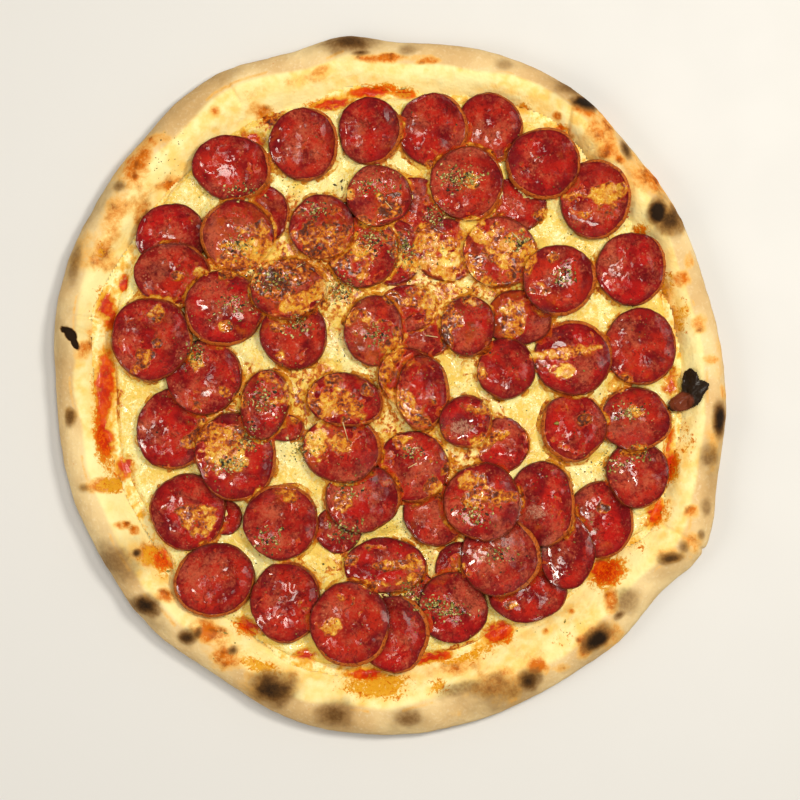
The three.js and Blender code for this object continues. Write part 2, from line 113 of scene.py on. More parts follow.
# x, y, half width, half height, turn in degrees, strength from 0 to 1
CHARRED = [
    (350, 42, 23, 10, 0, 0.72),
    (360, 53, 9, 3, -8, 0.70),
    (408, 50, 10, 6, 0, 0.38),
    (505, 65, 9, 5, 10, 0.30),
    (570, 88, 17, 7, 15, 0.52),
    (583, 104, 11, 7, 20, 1.00),
    (625, 151, 5, 9, -20, 0.66),
    (657, 212, 8, 11, 10, 1.00),
    (671, 221, 14, 13, 0, 0.72),
    (718, 420, 6, 17, 0, 0.90),
    (708, 458, 9, 13, 0, 0.48),
    (705, 507, 6, 10, 0, 0.36),
    (700, 534, 4, 5, 0, 0.45),
    (683, 546, 5, 6, 0, 0.45),
    (670, 558, 12, 5, -10, 0.72),
    (624, 602, 12, 13, 20, 0.42),
    (620, 614, 7, 4, -30, 0.62),
    (598, 638, 15, 9, -35, 1.00),
    (528, 681, 11, 11, 0, 0.80),
    (500, 690, 34, 15, -8, 0.36),
    (462, 688, 24, 6, -14, 0.40),
    (407, 718, 12, 9, 0, 0.52),
    (335, 714, 17, 13, 0, 0.58),
    (272, 688, 20, 14, 0, 0.78),
    (233, 650, 4, 4, 0, 0.62),
    (187, 637, 9, 7, 0, 0.80),
    (198, 633, 3, 6, 20, 0.60),
    (147, 604, 14, 9, 10, 0.82),
    (118, 560, 22, 17, 20, 0.42),
    (137, 553, 4, 4, 0, 0.80),
    (85, 487, 5, 4, 0, 0.40),
    (71, 417, 5, 8, 0, 0.58),
    (120, 187, 6, 5, 0, 0.50),
    (76, 262, 6, 17, 12, 0.42),
]

# the same for toasted, orange-brown dough
TOASTED = [
    (140, 160, 28, 12, -48, 0.72),
    (380, 58, 32, 4, 0, 0.75),
    (430, 61, 13, 3, 0, 0.60),
    (320, 71, 12, 4, -20, 0.60),
    (585, 113, 14, 5, 25, 0.85),
    (568, 137, 6, 4, 0, 0.70),
    (558, 116, 4, 4, 0, 0.80),
    (596, 132, 12, 18, -20, 0.60),
    (606, 152, 12, 9, -10, 0.65),
    (620, 160, 6, 6, 0, 0.70),
    (652, 182, 11, 18, -30, 0.70),
    (668, 212, 18, 20, 0, 0.45),
    (683, 279, 8, 7, 0, 0.80),
    (688, 262, 5, 7, 0, 0.55),
    (665, 290, 6, 9, 0, 0.60),
    (674, 318, 10, 17, 15, 0.65),
    (697, 326, 7, 10, 15, 0.60),
    (714, 360, 9, 5, 0, 0.50),
    (722, 392, 4, 9, 0, 0.65),
    (712, 440, 10, 22, 0, 0.40),
    (690, 511, 8, 7, 0, 0.65),
    (692, 540, 14, 10, 30, 0.50),
    (670, 556, 16, 8, 0, 0.50),
    (611, 600, 8, 12, 0, 0.75),
    (585, 643, 9, 10, -35, 0.70),
    (597, 637, 22, 15, -35, 0.60),
    (560, 668, 10, 6, 0, 0.45),
    (538, 666, 10, 8, 0, 0.95),
    (505, 672, 12, 7, 0, 0.60),
    (492, 684, 40, 18, -8, 0.55),
    (455, 670, 34, 9, -10, 0.55),
    (225, 655, 16, 12, 20, 0.65),
    (207, 632, 13, 10, 30, 0.85),
    (270, 684, 26, 18, 0, 0.45),
    (165, 595, 9, 6, 20, 0.75),
    (148, 555, 13, 10, 20, 0.80),
    (120, 525, 7, 4, 0, 0.80),
    (135, 530, 4, 4, 0, 0.75),
    (110, 485, 20, 7, -5, 0.95),
    (71, 417, 8, 11, 0, 0.40),
    (85, 350, 7, 11, 0, 0.70),
    (118, 210, 13, 26, 25, 0.50),
    (165, 185, 11, 7, 0, 0.75),
    (138, 225, 6, 13, -20, 0.60),
    (215, 112, 6, 5, 0, 0.70),
    (262, 112, 11, 9, 0, 0.75),
    (100, 262, 14, 9, 30, 0.60),
    (547, 632, 4, 3, 0, 0.75),
    (572, 612, 4, 3, 0, 0.75),
    (130, 175, 18, 26, 35, 0.45),
    (172, 182, 24, 10, -10, 0.50),
    (140, 215, 7, 18, 20, 0.60),
    (108, 235, 12, 20, 20, 0.45),
    (104, 252, 10, 16, 0, 0.60),
    (262, 92, 26, 12, -10, 0.30),
    (85, 255, 14, 22, 15, 0.35),
    (92, 340, 8, 26, -8, 0.45),
    (225, 652, 20, 14, 25, 0.50),
    (530, 655, 20, 12, -10, 0.35),
    (640, 178, 14, 24, -40, 0.55),
    (606, 128, 8, 24, -25, 0.60),
    (668, 300, 8, 20, 0, 0.50),
    (720, 350, 6, 40, 5, 0.30),
    (310, 76, 30, 6, -15, 0.40),
]

# the same for dull, olive-brown dough: browning round the chars, and painted shade along the rim's left side
DUSKY_AND_SHADED = [
    (63, 343, 11, 34, 0, 0.55),
    (76, 262, 12, 30, 15, 0.60),
    (100, 200, 12, 36, 35, 0.60),
    (222, 76, 20, 9, -25, 0.50),
    (155, 620, 16, 9, 35, 0.55),
    (118, 560, 26, 20, 30, 0.50),
    (350, 44, 34, 14, 0, 0.50),
    (572, 92, 26, 14, 20, 0.50),
    (274, 692, 28, 16, 10, 0.40),
    (335, 716, 26, 14, 5, 0.40),
    (407, 722, 20, 12, 0, 0.40),
    (500, 700, 42, 14, -10, 0.40),
    (600, 650, 24, 12, -35, 0.40),
    (712, 465, 12, 30, 0, 0.45),
    (672, 565, 20, 10, -25, 0.35),
    (660, 235, 16, 12, 0, 0.35),
    (190, 105, 34, 12, -40, 0.30),
    (150, 130, 26, 12, -45, 0.25),
    (110, 175, 12, 26, 35, 0.45),
    (70, 330, 14, 60, 0, 0.35),
    (120, 555, 26, 24, 30, 0.35),
    (690, 285, 16, 50, 12, 0.12),
]

# the same for sauce that shows
SAUCE_SHOWS = [
    (250, 140, 15, 10, 0, 1.0),
    (330, 103, 22, 6, -8, 0.9),
    (372, 90, 22, 6, -8, 0.8),
    (405, 92, 10, 6, 0, 0.7),
    (123, 283, 5, 9, 10, 0.9),
    (105, 305, 8, 13, 0, 0.9),
    (113, 318, 9, 12, 0, 0.7),
    (104, 385, 9, 32, 4, 0.9),
    (103, 440, 8, 24, -8, 0.9),
    (125, 467, 12, 10, -30, 0.8),
    (160, 560, 9, 14, -30, 0.7),
    (250, 628, 15, 8, 20, 0.9),
    (305, 655, 12, 6, 10, 0.8),
    (365, 675, 18, 6, 0, 0.9),
    (430, 658, 20, 6, -8, 0.9),
    (497, 633, 14, 12, -20, 0.9),
    (607, 572, 16, 14, -40, 0.9),
    (655, 514, 14, 10, -50, 0.8),
    (672, 382, 8, 14, 0, 0.8),
    (670, 467, 7, 15, 10, 0.8),
    (668, 432, 6, 20, 0, 0.7),
    (663, 487, 4, 7, 20, 0.9),
    (640, 232, 8, 8, 0, 0.5),
    (560, 130, 8, 6, 30, 0.6),
    (523, 108, 8, 6, 0, 0.4),
    (500, 397, 7, 5, 0, 0.9),
    (345, 655, 10, 5, 0, 0.7),
]

# the same for cheese that browned on the sheet and on the rim's inner slope
BROWNED_CHEESE = [
    (378, 686, 34, 13, 0, 0.95),
    (465, 655, 27, 10, -12, 0.85),
    (257, 665, 24, 10, 18, 0.90),
    (438, 688, 14, 9, 0, 0.70),
    (270, 118, 14, 9, -20, 0.75),
    (215, 155, 16, 10, -35, 0.45),
    (100, 305, 9, 22, 0, 0.60),
    (108, 400, 14, 26, 0, 0.50),
    (112, 485, 20, 8, -5, 0.85),
    (98, 250, 12, 14, 20, 0.55),
    (150, 555, 12, 12, 20, 0.80),
    (200, 600, 14, 12, 30, 0.35),
    (560, 640, 16, 8, -25, 0.40),
    (640, 545, 12, 12, -40, 0.45),
    (685, 440, 10, 22, 0, 0.50),
    (680, 318, 10, 22, 8, 0.60),
    (668, 285, 8, 16, 0, 0.60),
    (652, 180, 9, 16, -30, 0.60),
    (600, 130, 10, 14, -30, 0.60),
    (425, 267, 10, 12, 0, 0.55),
    (520, 345, 8, 12, 0, 0.35),
    (250, 372, 6, 10, 0, 0.35),
    (290, 372, 12, 10, 0, 0.45),
    (450, 440, 14, 9, 0, 0.40),
    (390, 430, 8, 12, 0, 0.40),
]

# x, y, half width, half height, turn, strength of the browning over a broad area
BROWNED_AREAS = [
    (300, 260, 105, 60, 15, 0.55),
    (440, 260, 120, 60, 10, 0.50),
    (400, 330, 90, 60, 0, 0.40),
    (340, 400, 130, 45, 5, 0.45),
    (220, 435, 60, 40, 10, 0.45),
    (470, 430, 80, 50, 0, 0.30),
    (390, 565, 110, 22, 0, 0.35),
    (590, 200, 45, 20, 10, 0.35),
]

# x, y, half width, half height, turn, amount, how brown from 0 (pale) to 1 (dark brown)
MELTED = [
    (262, 250, 24, 14, 10, 1.00, 0.36),
    (258, 266, 30, 18, 25, 1.00, 0.55),
    (285, 272, 24, 16, 20, 1.00, 0.50),
    (276, 288, 22, 12, 20, 0.90, 0.58),
    (302, 300, 24, 9, -22, 0.95, 0.25),
    (310, 312, 18, 6, -30, 0.80, 0.62),
    (390, 208, 16, 9, 15, 0.95, 0.66),
    (378, 198, 9, 6, 0, 0.80, 0.45),
    (440, 268, 24, 14, 15, 0.95, 0.22),
    (456, 262, 14, 10, 30, 0.85, 0.35),
    (478, 234, 24, 7, 38, 0.85, 0.36),
    (416, 250, 6, 16, 15, 0.80, 0.50),
    (318, 446, 17, 16, 0, 0.95, 0.16),
    (225, 458, 26, 12, 22, 0.95, 0.28),
    (345, 258, 16, 10, 0, 0.85, 0.80),
    (360, 252, 12, 6, 0, 0.85, 0.22),
    (430, 232, 14, 9, 0, 0.80, 0.72),
    (446, 246, 7, 12, 20, 0.85, 0.45),
    (430, 300, 8, 14, 0, 0.80, 0.36),
    (400, 300, 20, 7, 10, 0.70, 0.70),
    (510, 312, 14, 12, 0, 0.90, 0.52),
    (470, 372, 18, 12, 20, 0.70, 0.25),
    (404, 402, 14, 16, 0, 0.80, 0.40),
    (332, 400, 22, 9, 0, 0.80, 0.40),
    (470, 455, 34, 8, -32, 0.95, 0.36),
    (432, 485, 10, 8, 0, 0.85, 0.30),
    (490, 410, 30, 8, 0, 0.70, 0.55),
    (240, 400, 8, 10, 0, 0.80, 0.36),
    (206, 436, 12, 14, 0, 0.75, 0.62),
    (292, 396, 8, 12, 0, 0.80, 0.42),
    (230, 268, 12, 13, 0, 0.70, 0.45),
    (260, 227, 11, 10, 0, 0.75, 0.62),
    (200, 272, 10, 8, 0, 0.45, 0.10),
    (178, 276, 9, 5, 0, 0.50, 0.50),
    (350, 195, 10, 7, 0, 0.55, 0.42),
    (333, 212, 9, 8, 0, 0.60, 0.45),
    (393, 195, 11, 10, 0, 0.65, 0.80),
    (310, 240, 14, 24, 10, 0.55, 0.55),
    (320, 260, 24, 15, -10, 0.80, 0.62),
    (360, 250, 16, 10, 15, 0.70, 0.42),
    (398, 246, 14, 12, -20, 0.70, 0.60),
    (430, 240, 14, 9, 20, 0.60, 0.55),
    (445, 232, 8, 6, 0, 0.50, 0.50),
    (475, 222, 12, 6, 10, 0.65, 0.50),
    (492, 243, 9, 19, 15, 0.80, 0.62),
    (515, 256, 17, 21, 20, 0.90, 0.42),
    (470, 262, 12, 10, 0, 0.60, 0.55),
    (430, 165, 8, 6, 0, 0.55, 0.55),
    (468, 180, 12, 10, 0, 0.45, 0.40),
    (545, 215, 10, 8, 0, 0.65, 0.55),
    (608, 194, 20, 10, 12, 0.85, 0.42),
    (574, 196, 15, 6, -5, 0.60, 0.50),
    (552, 257, 9, 8, 0, 0.65, 0.40),
    (540, 290, 10, 8, 0, 0.50, 0.50),
    (512, 320, 14, 19, 30, 0.80, 0.40),
    (432, 305, 9, 16, 10, 0.65, 0.48),
    (450, 315, 11, 16, -10, 0.70, 0.52),
    (397, 338, 4, 14, 0, 0.60, 0.45),
    (446, 342, 7, 11, 0, 0.70, 0.85),
    (470, 300, 12, 8, 0, 0.55, 0.55),
    (490, 285, 12, 8, 0, 0.50, 0.50),
    (572, 352, 32, 7, -6, 0.75, 0.35),
    (562, 372, 18, 9, 0, 0.50, 0.12),
    (555, 322, 4, 8, 30, 0.50, 0.35),
    (620, 382, 12, 12, 50, 0.55, 0.45),
    (470, 452, 30, 14, -30, 0.55, 0.40),
    (400, 390, 15, 11, 0, 0.70, 0.52),
    (340, 407, 21, 8, -5, 0.80, 0.50),
    (368, 390, 8, 7, 0, 0.70, 0.75),
    (340, 445, 16, 12, 0, 0.75, 0.42),
    (403, 442, 12, 10, 0, 0.55, 0.50),
    (190, 440, 11, 11, 0, 0.65, 0.60),
    (228, 438, 24, 13, 5, 0.80, 0.55),
    (232, 463, 18, 13, 0, 0.60, 0.15),
    (215, 470, 14, 10, 0, 0.50, 0.50),
    (158, 315, 9, 9, 0, 0.70, 0.52),
    (157, 343, 7, 6, 0, 0.65, 0.55),
    (145, 355, 9, 6, 0, 0.70, 0.52),
    (138, 368, 12, 6, -30, 0.70, 0.50),
    (225, 327, 8, 7, 0, 0.55, 0.60),
    (225, 392, 9, 7, 0, 0.60, 0.58),
    (196, 365, 8, 11, 0, 0.45, 0.15),
    (276, 326, 10, 6, 0, 0.60, 0.60),
    (280, 355, 5, 6, 0, 0.60, 0.55),
    (300, 310, 16, 10, 20, 0.55, 0.60),
    (632, 450, 14, 6, -10, 0.60, 0.50),
    (565, 406, 7, 7, 0, 0.55, 0.55),
    (585, 420, 8, 7, 0, 0.50, 0.75),
    (197, 520, 19, 16, 0, 0.65, 0.42),
    (285, 495, 16, 11, 0, 0.60, 0.45),
    (342, 500, 10, 11, 0, 0.60, 0.48),
    (330, 566, 13, 12, 0, 0.60, 0.52),
    (385, 566, 17, 7, 0, 0.65, 0.50),
    (415, 562, 11, 8, 0, 0.60, 0.50),
    (457, 566, 14, 11, 0, 0.70, 0.50),
    (485, 500, 26, 12, -10, 0.60, 0.50),
    (468, 480, 16, 10, 0, 0.50, 0.45),
    (330, 625, 14, 10, 0, 0.45, 0.12),
    (345, 600, 12, 10, 0, 0.50, 0.45),
    (305, 606, 8, 7, 0, 0.45, 0.45),
    (510, 605, 9, 6, 0, 0.50, 0.45),
    (603, 507, 7, 6, 0, 0.55, 0.75),
    (375, 585, 16, 8, 0, 0.50, 0.35),
    (350, 560, 10, 6, 0, 0.55, 0.45),
    (270, 405, 14, 10, 0, 0.50, 0.50),
    (335, 225, 16, 10, 0, 0.55, 0.60),
    (380, 215, 12, 10, 0, 0.45, 0.55),
    (635, 410, 12, 6, 20, 0.40, 0.30),
]

# x, y, half width, half height, turn, strength of the wet glare
WET = [
    (370, 127, 12, 7, 30, 0.9),
    (385, 118, 8, 5, 0, 0.8),
    (407, 118, 6, 5, 0, 0.7),
    (485, 130, 14, 9, 20, 0.7),
    (497, 156, 10, 5, 0, 0.9),
    (315, 130, 14, 10, 0, 0.5),
    (228, 168, 14, 7, -20, 0.8),
    (170, 240, 12, 6, 0, 0.8),
    (165, 272, 14, 8, 0, 0.7),
    (163, 295, 8, 5, 0, 0.8),
    (235, 235, 16, 12, 0, 0.5),
    (283, 240, 5, 10, 0, 0.7),
    (240, 310, 16, 10, 0, 0.5),
    (618, 266, 7, 9, -30, 0.9),
    (540, 317, 13, 7, -20, 0.9),
    (568, 278, 6, 14, 10, 0.8),
    (530, 160, 10, 8, 0, 0.5),
    (590, 225, 14, 8, 30, 0.5),
    (625, 325, 9, 7, 0, 0.7),
    (560, 345, 14, 8, 0, 0.5),
    (612, 412, 14, 6, 20, 0.9),
    (630, 432, 12, 10, 0, 0.9),
    (574, 435, 10, 6, 0, 0.8),
    (457, 427, 16, 10, 0, 1.0),
    (402, 478, 8, 6, 0, 0.8),
    (158, 428, 9, 6, 0, 0.8),
    (180, 455, 9, 12, 0, 0.5),
    (232, 570, 9, 10, 0, 0.8),
    (292, 583, 7, 11, 20, 0.8),
    (300, 600, 8, 10, 0, 0.5),
    (176, 500, 9, 9, 0, 0.6),
    (535, 513, 18, 14, 0, 1.0),
    (590, 518, 12, 22, 10, 1.0),
    (552, 553, 12, 10, 0, 0.8),
    (470, 556, 12, 7, 0, 0.8),
    (490, 552, 14, 9, 0, 0.9),
    (515, 585, 18, 5, 0, 0.7),
    (637, 472, 10, 10, 0, 0.8),
    (355, 582, 14, 6, 20, 0.7),
    (388, 612, 6, 18, 0, 0.8),
    (405, 620, 9, 10, 0, 0.5),
    (280, 500, 16, 8, 0, 0.6),
    (360, 460, 16, 10, 0, 0.5),
    (415, 400, 8, 14, 0, 0.5),
    (475, 520, 16, 10, 0, 0.6),
    (500, 540, 14, 9, 0, 0.6),
    (370, 300, 12, 12, 0, 0.4),
    (340, 350, 12, 10, 0, 0.4),
    (440, 465, 14, 9, 0, 0.5),
]

# the same for a pink haze of fat on the slices
HAZY = [
    (228, 238, 24, 26, 0, 1.0),
    (305, 140, 22, 22, 0, 0.8),
    (355, 125, 12, 14, 0, 0.5),
    (480, 138, 24, 18, 0, 0.9),
    (412, 125, 12, 14, 0, 0.4),
    (365, 335, 16, 28, 0, 0.9),
    (165, 238, 18, 14, 0, 0.6),
    (152, 268, 14, 12, 0, 0.7),
    (210, 300, 20, 18, 0, 0.8),
    (128, 342, 14, 22, 0, 0.6),
    (165, 335, 10, 18, 0, 0.6),
    (200, 393, 24, 14, 0, 0.7),
    (150, 425, 12, 18, 0, 0.8),
    (350, 488, 28, 18, 0, 0.9),
    (418, 478, 28, 20, 0, 0.6),
    (458, 180, 18, 22, 0, 0.7),
    (370, 178, 16, 12, 0, 0.7),
    (560, 355, 22, 16, 0, 0.6),
    (585, 370, 14, 10, 0, 0.7),
    (622, 330, 14, 18, 0, 0.7),
    (500, 555, 26, 26, 0, 0.8),
    (555, 540, 12, 20, 0, 0.7),
    (460, 600, 24, 16, 0, 0.6),
    (332, 610, 12, 16, 0, 0.8),
    (285, 598, 16, 18, 0, 0.5),
    (635, 478, 14, 18, 0, 0.7),
    (615, 425, 24, 12, 0, 0.9),
    (505, 432, 18, 16, 0, 0.7),
    (440, 515, 20, 18, 0, 0.8),
    (370, 222, 14, 16, 0, 0.7),
    (415, 190, 10, 14, 0, 0.8),
    (508, 205, 22, 12, 0, 0.8),
    (595, 212, 22, 12, 0, 0.7),
    (520, 232, 16, 12, 0, 0.7),
    (395, 585, 18, 10, 0, 0.8),
    (205, 575, 24, 18, 0, 0.7),
    (268, 520, 18, 20, 0, 0.7),
    (185, 500, 14, 16, 0, 0.6),
    (615, 262, 14, 18, 0, 0.7),
    (560, 275, 18, 12, 0, 0.7),
    (530, 170, 12, 14, 0, 0.4),
    (585, 505, 12, 22, 0, 0.6),
    (528, 510, 14, 16, 0, 0.6),
    (480, 505, 20, 18, 0, 0.6),
    (400, 640, 14, 14, 0, 0.5),
    (318, 205, 16, 12, 0, 0.8),
    (360, 240, 14, 14, 0, 0.7),
    (470, 335, 14, 16, 0, 0.7),
    (410, 330, 16, 14, 0, 0.7),
    (535, 325, 16, 10, 0, 0.6),
]

# x, y, half width, half height, how many flakes
HERB_CLUSTERS = [
    (460, 178, 20, 11, 90),
    (370, 185, 22, 10, 45),
    (315, 210, 14, 10, 30),
    (370, 240, 14, 12, 50),
    (405, 250, 12, 18, 55),
    (435, 215, 12, 12, 35),
    (298, 325, 14, 10, 35),
    (565, 275, 14, 10, 35),
    (262, 400, 18, 14, 50),
    (195, 355, 12, 14, 40),
    (235, 305, 18, 12, 45),
    (270, 280, 22, 16, 50),
    (430, 605, 16, 7, 45),
    (450, 612, 18, 9, 50),
    (410, 590, 12, 10, 30),
    (350, 490, 14, 10, 30),
    (345, 530, 18, 12, 45),
    (268, 540, 16, 12, 35),
    (378, 335, 14, 12, 30),
    (340, 290, 16, 14, 60),
    (630, 412, 16, 10, 35),
    (475, 515, 18, 10, 40),
    (500, 555, 14, 10, 30),
    (232, 465, 16, 8, 40),
    (250, 440, 16, 12, 40),
    (412, 453, 10, 8, 20),
    (615, 465, 12, 8, 22),
    (300, 450, 14, 12, 30),
    (640, 455, 10, 8, 18),
    (240, 245, 16, 12, 35),
    (520, 240, 16, 12, 30),
    (240, 190, 18, 10, 28),
]

# smears of pale fat on the slices, partly painted glare where the lamps would shine on the wet meat: x, y,
# half width, half height, turn in degrees, strength
PALE_FAT_AND_GLARE = [
    (591, 522, 7, 15, -15, 1.0),
    (583, 508, 6, 8, 0, 0.7),
    (538, 512, 12, 11, -30, 0.95),
    (458, 428, 12, 8, 0, 1.0),
    (478, 553, 14, 7, 0, 0.75),
    (545, 548, 5, 10, 20, 0.8),
    (556, 577, 5, 12, 15, 0.7),
    (300, 505, 8, 5, -20, 0.6),
    (318, 128, 5, 6, 0, 0.6),
    (625, 412, 13, 5, -10, 0.7),
]

# the pale film that the herbs lie in: x, y, half width, half height, turn in degrees, strength
HERB_FILMS = [(x, y, 1.3 * wide, 1.3 * high, 0, 0.5) for x, y, wide, high, _ in HERB_CLUSTERS]

# x, y, half width, half height, how many crumbs of herb
CRUMBS = [
    (165, 168, 16, 12, 26),
    (180, 140, 14, 12, 10),
    (580, 232, 20, 12, 16),
    (610, 300, 16, 8, 8),
    (555, 470, 26, 8, 30),
    (610, 470, 16, 10, 24),
    (400, 530, 12, 18, 30),
    (290, 190, 24, 8, 26),
    (340, 345, 12, 22, 26),
    (285, 368, 20, 6, 20),
    (165, 400, 20, 14, 6),
    (250, 640, 40, 14, 14),
    (545, 625, 30, 10, 12),
    (440, 250, 30, 20, 40),
    (260, 270, 40, 22, 60),
    (350, 260, 40, 30, 70),
    (470, 300, 50, 24, 70),
    (400, 380, 60, 30, 70),
    (250, 430, 50, 30, 70),
    (340, 440, 40, 30, 60),
    (470, 420, 50, 24, 50),
    (420, 560, 70, 24, 70),
]

# x, y, length in mm, turn, how dark a green from 0 to 1
LEAVES = [
    (403, 87, 4.0, 30, 0.3),
    (334, 184, 3.0, 60, 0.9),
    (342, 188, 2.8, 20, 0.9),
    (558, 423, 5.0, 80, 0.5),
    (167, 572, 3.0, 40, 0.4),
    (225, 633, 3.0, 10, 0.4),
    (487, 514, 3.4, 30, 0.9),
    (565, 622, 2.6, 60, 0.4),
    (452, 606, 4.5, 10, 0.6),
    (440, 615, 4.0, 50, 0.6),
]

# x and y of both ends of a dry stalk
STRAWS = [
    (343, 422, 348, 440),
    (425, 335, 438, 337),
    (466, 146, 470, 157),
    (385, 201, 392, 209),
    (512, 232, 520, 240),
    (296, 268, 305, 262),
    (408, 468, 417, 463),
]

# x, y, half width, half height of slices sunk in the cheese, mostly under others
SUNK_SLICES = [
    (462, 570, 27, 29),
    (416, 205, 30, 29),
    (515, 205, 32, 28),
    (393, 252, 30, 34),
    (447, 250, 32, 32),
    (256, 214, 34, 32),
    (408, 308, 30, 24),
    (425, 335, 27, 24),
    (285, 428, 20, 14),
    (338, 530, 24, 24),
    (503, 445, 27, 28),
    (408, 590, 28, 20),
    (226, 518, 16, 18),
]

# x and y of slices whose casing stands well up, the way that side faces in degrees, and how far from 0 to 1
CURLED_RIMS = [
    (228, 238, 180, 1.0),
    (222, 312, -115, 0.9),
    (572, 425, -150, 1.1),
    (213, 580, -160, 0.9),
    (213, 580, -60, 0.9),
    (189, 513, -150, 0.6),
    (543, 163, -120, 1.0),
    (543, 163, 45, 0.8),
    (350, 622, -75, 1.1),
    (502, 555, -5, 1.2),
    (421, 390, -10, 1.0),
    (402, 632, 10, 1.1),
    (305, 143, 15, 0.8),
    (370, 129, -35, 0.9),
    (433, 129, 10, 0.9),
    (491, 125, 50, 0.6),
    (595, 198, 45, 0.9),
    (595, 198, -25, 0.9),
    (631, 268, -10, 0.8),
    (560, 280, -40, 1.0),
    (573, 352, 60, 0.9),
    (541, 505, -20, 0.9),
    (604, 518, -30, 0.8),
    (285, 523, 80, 0.7),
    (478, 503, -110, 0.5),
    (365, 250, -10, 0.6),
]

# x, y, half width, half height, turn of single places: the pie inside its rim, its most browned part, and the
# brown lobes of the burnt crisp
PIE = (375, 372, 268, 262, 0)
HOTTEST = (360, 300, 170, 130, -10)
CRISP_BROWN = (680, 402, 15, 12, 0)

# points along each fold or crack in the rim, in pixels
CREASES = [
    [(575, 100), (569, 110), (567, 135)],
    [(593, 151), (604, 143)],
    [(665, 528), (690, 540), (708, 553)],
    [(228, 85), (240, 104)],
    [(77, 328), (89, 332), (98, 345)],
    [(76, 317), (98, 319)],
]

# a scorched hollow in the rim, in the same six values as a charred spot
BURNT_HOLLOW = [
    (67, 330, 6, 3, 10, 1.0),
    (72, 335, 7, 5, 50, 1.0),
    (76, 343, 7, 3, 65, 1.0),
]

# ---------------------------------------------------------------- colours, as 0-255 values of a picture

FLOUR_DUST = (255, 240, 200)
FLOURY_TAN = (218, 180, 122)
FLOURY_CREAM = (242, 214, 156)
BUTTER = (252, 206, 106)
PALE_BUTTER = (255, 240, 172)
DUSK_AND_SHADE = (142, 104, 54)
GOLDEN = (246, 190, 92)
TOAST = (208, 108, 12)
DARK_TOAST = (146, 72, 12)
CHAR_BROWN = (112, 74, 32)
CHAR_BLACK = (36, 22, 8)
CRISP_RUST = (112, 48, 24)
SAUCE_RED = (200, 44, 0)
SAUCE_ORANGE = (226, 98, 0)
SAUCE_DEEP = (160, 34, 2)
CHEESE_WHITE = (254, 238, 160)
CHEESE_PALE = (246, 210, 98)
CHEESE_YELLOW = (226, 160, 34)
CHEESE_ORANGE = (204, 106, 6)
CHEESE_RUST = (150, 56, 2)
CHEESE_BROWN = (86, 32, 2)
MEAT_RED = (194, 20, 16)
MEAT_WARM = (194, 42, 20)
MEAT_DEEP = (126, 6, 14)
MEAT_PINK = (204, 96, 64)
MEAT_FAT = (224, 138, 96)
MEAT_GLAZE_AND_GLARE = (228, 170, 136)
MEAT_BROWN = (136, 50, 16)
MEAT_DARK = (84, 4, 8)
OIL_ORANGE = (192, 78, 8)
CASING = (140, 52, 18)
CASING_DARK = (104, 36, 14)
CASING_LIGHT = (206, 106, 36)
HERB_PALE = (222, 208, 134)
HERB_GREEN = (150, 138, 56)
HERB_DARK = (72, 62, 26)
HERB_BLACK = (26, 20, 12)
STRAW = (226, 204, 142)
FLOOR_GREY = (222, 222, 220)

SKY_COLOUR = (1.0, 0.95, 0.88, 1.0)
SKY_RANGE = {"From Min": 0.55, "From Max": 0.95, "To Min": 0.38, "To Max": 0.02}  # strength by height
LAMP_COLOUR = (1.0, 0.95, 0.87)
KEY_COLOUR = (1.0, 0.94, 0.84)

# name, place and size in metres, power in watts, colour
LIGHTS = [
    ("key_light", (0.56, 0.28, 1.08), 0.28, 8.8, KEY_COLOUR),
    ("top_light", (0.20, 0.34, 1.68), 0.50, 7.5, LAMP_COLOUR),
    ("near_light", (0.26, -0.18, 1.7), 0.32, 3.2, LAMP_COLOUR),
    ("soft_light", (-0.95, -0.25, 0.95), 0.7, 4.5, LAMP_COLOUR),
]


def linear(colour):
    """A picture's 0-255 colour in the linear light that shaders use."""
    values = [((c / 255 + 0.055) / 1.055) ** 2.4 for c in colour]
    return (*values, 1.0)


# ---------------------------------------------------------------- noise and masks


def lattice(cell, seed):
    """A fixed random number from -1 to 1 for each whole-number point in space."""
    mixed = sum(cell[:, axis] * step for axis, step in enumerate(HASH_STEPS)) + seed * HASH_SEED
    mixed = mixed & LOW_BITS
    mixed = ((mixed ^ (mixed >> 13)) * HASH_SEED) & LOW_BITS
    mixed = mixed ^ (mixed >> 16)
    return mixed / HALF_RANGE - 1.0


def noise(points, size, seed):
    """Smooth noise from -1 to 1 at each point, with lumps about that size."""
    scaled = points / size
    cell = np.floor(scaled).astype(np.int64)
    share = scaled - cell
    share = share * share * (3 - 2 * share)
    total = np.zeros(len(points))
    for corner in range(8):
        step = np.array([corner & 1, corner >> 1 & 1, corner >> 2 & 1])
        weight = np.prod(np.where(step == 1, share, 1 - share), axis=1)
        total += weight * lattice(cell + step, seed)
    return total


def fractal(points, size, seed, octaves=3):
    """Noise with finer noise on it, from about -1 to 1."""
    total = np.zeros(len(points))
    for octave in range(octaves):
        total += noise(points, size / 2**octave, seed + octave) / 2**octave
    return total / (2 - 2 ** (1 - octaves))


def smooth_step(value, low, high):
    """0 at low, 1 at high, and a smooth change between them. low may be the larger."""
    share = np.clip((value - low) / (high - low), 0, 1)
    return share * share * (3 - 2 * share)


def pixels_of(points):
    """Where points in mm lie in the photograph."""
    return np.stack(
        [
            HUB_PX[0] + (points[:, 0] - hub[0]) / MM_PER_PX,
            HUB_PX[1] - (points[:, 1] - hub[1]) / MM_PER_PX,
        ],
        axis=1,
    )


def place_of(x, y):
    """A pixel's place in mm."""
    return hub[0] + (x - HUB_PX[0]) * MM_PER_PX, hub[1] - (y - HUB_PX[1]) * MM_PER_PX


def oval_distance(pixels, x, y, half_width, half_height, turn):
    """0 in the middle of an oval, 1 on its edge."""
    across, down = pixels[:, 0] - x, pixels[:, 1] - y
    c, s = math.cos(math.radians(turn)), math.sin(math.radians(turn))
    return np.hypot((across * c + down * s) / half_width, (down * c - across * s) / half_height)


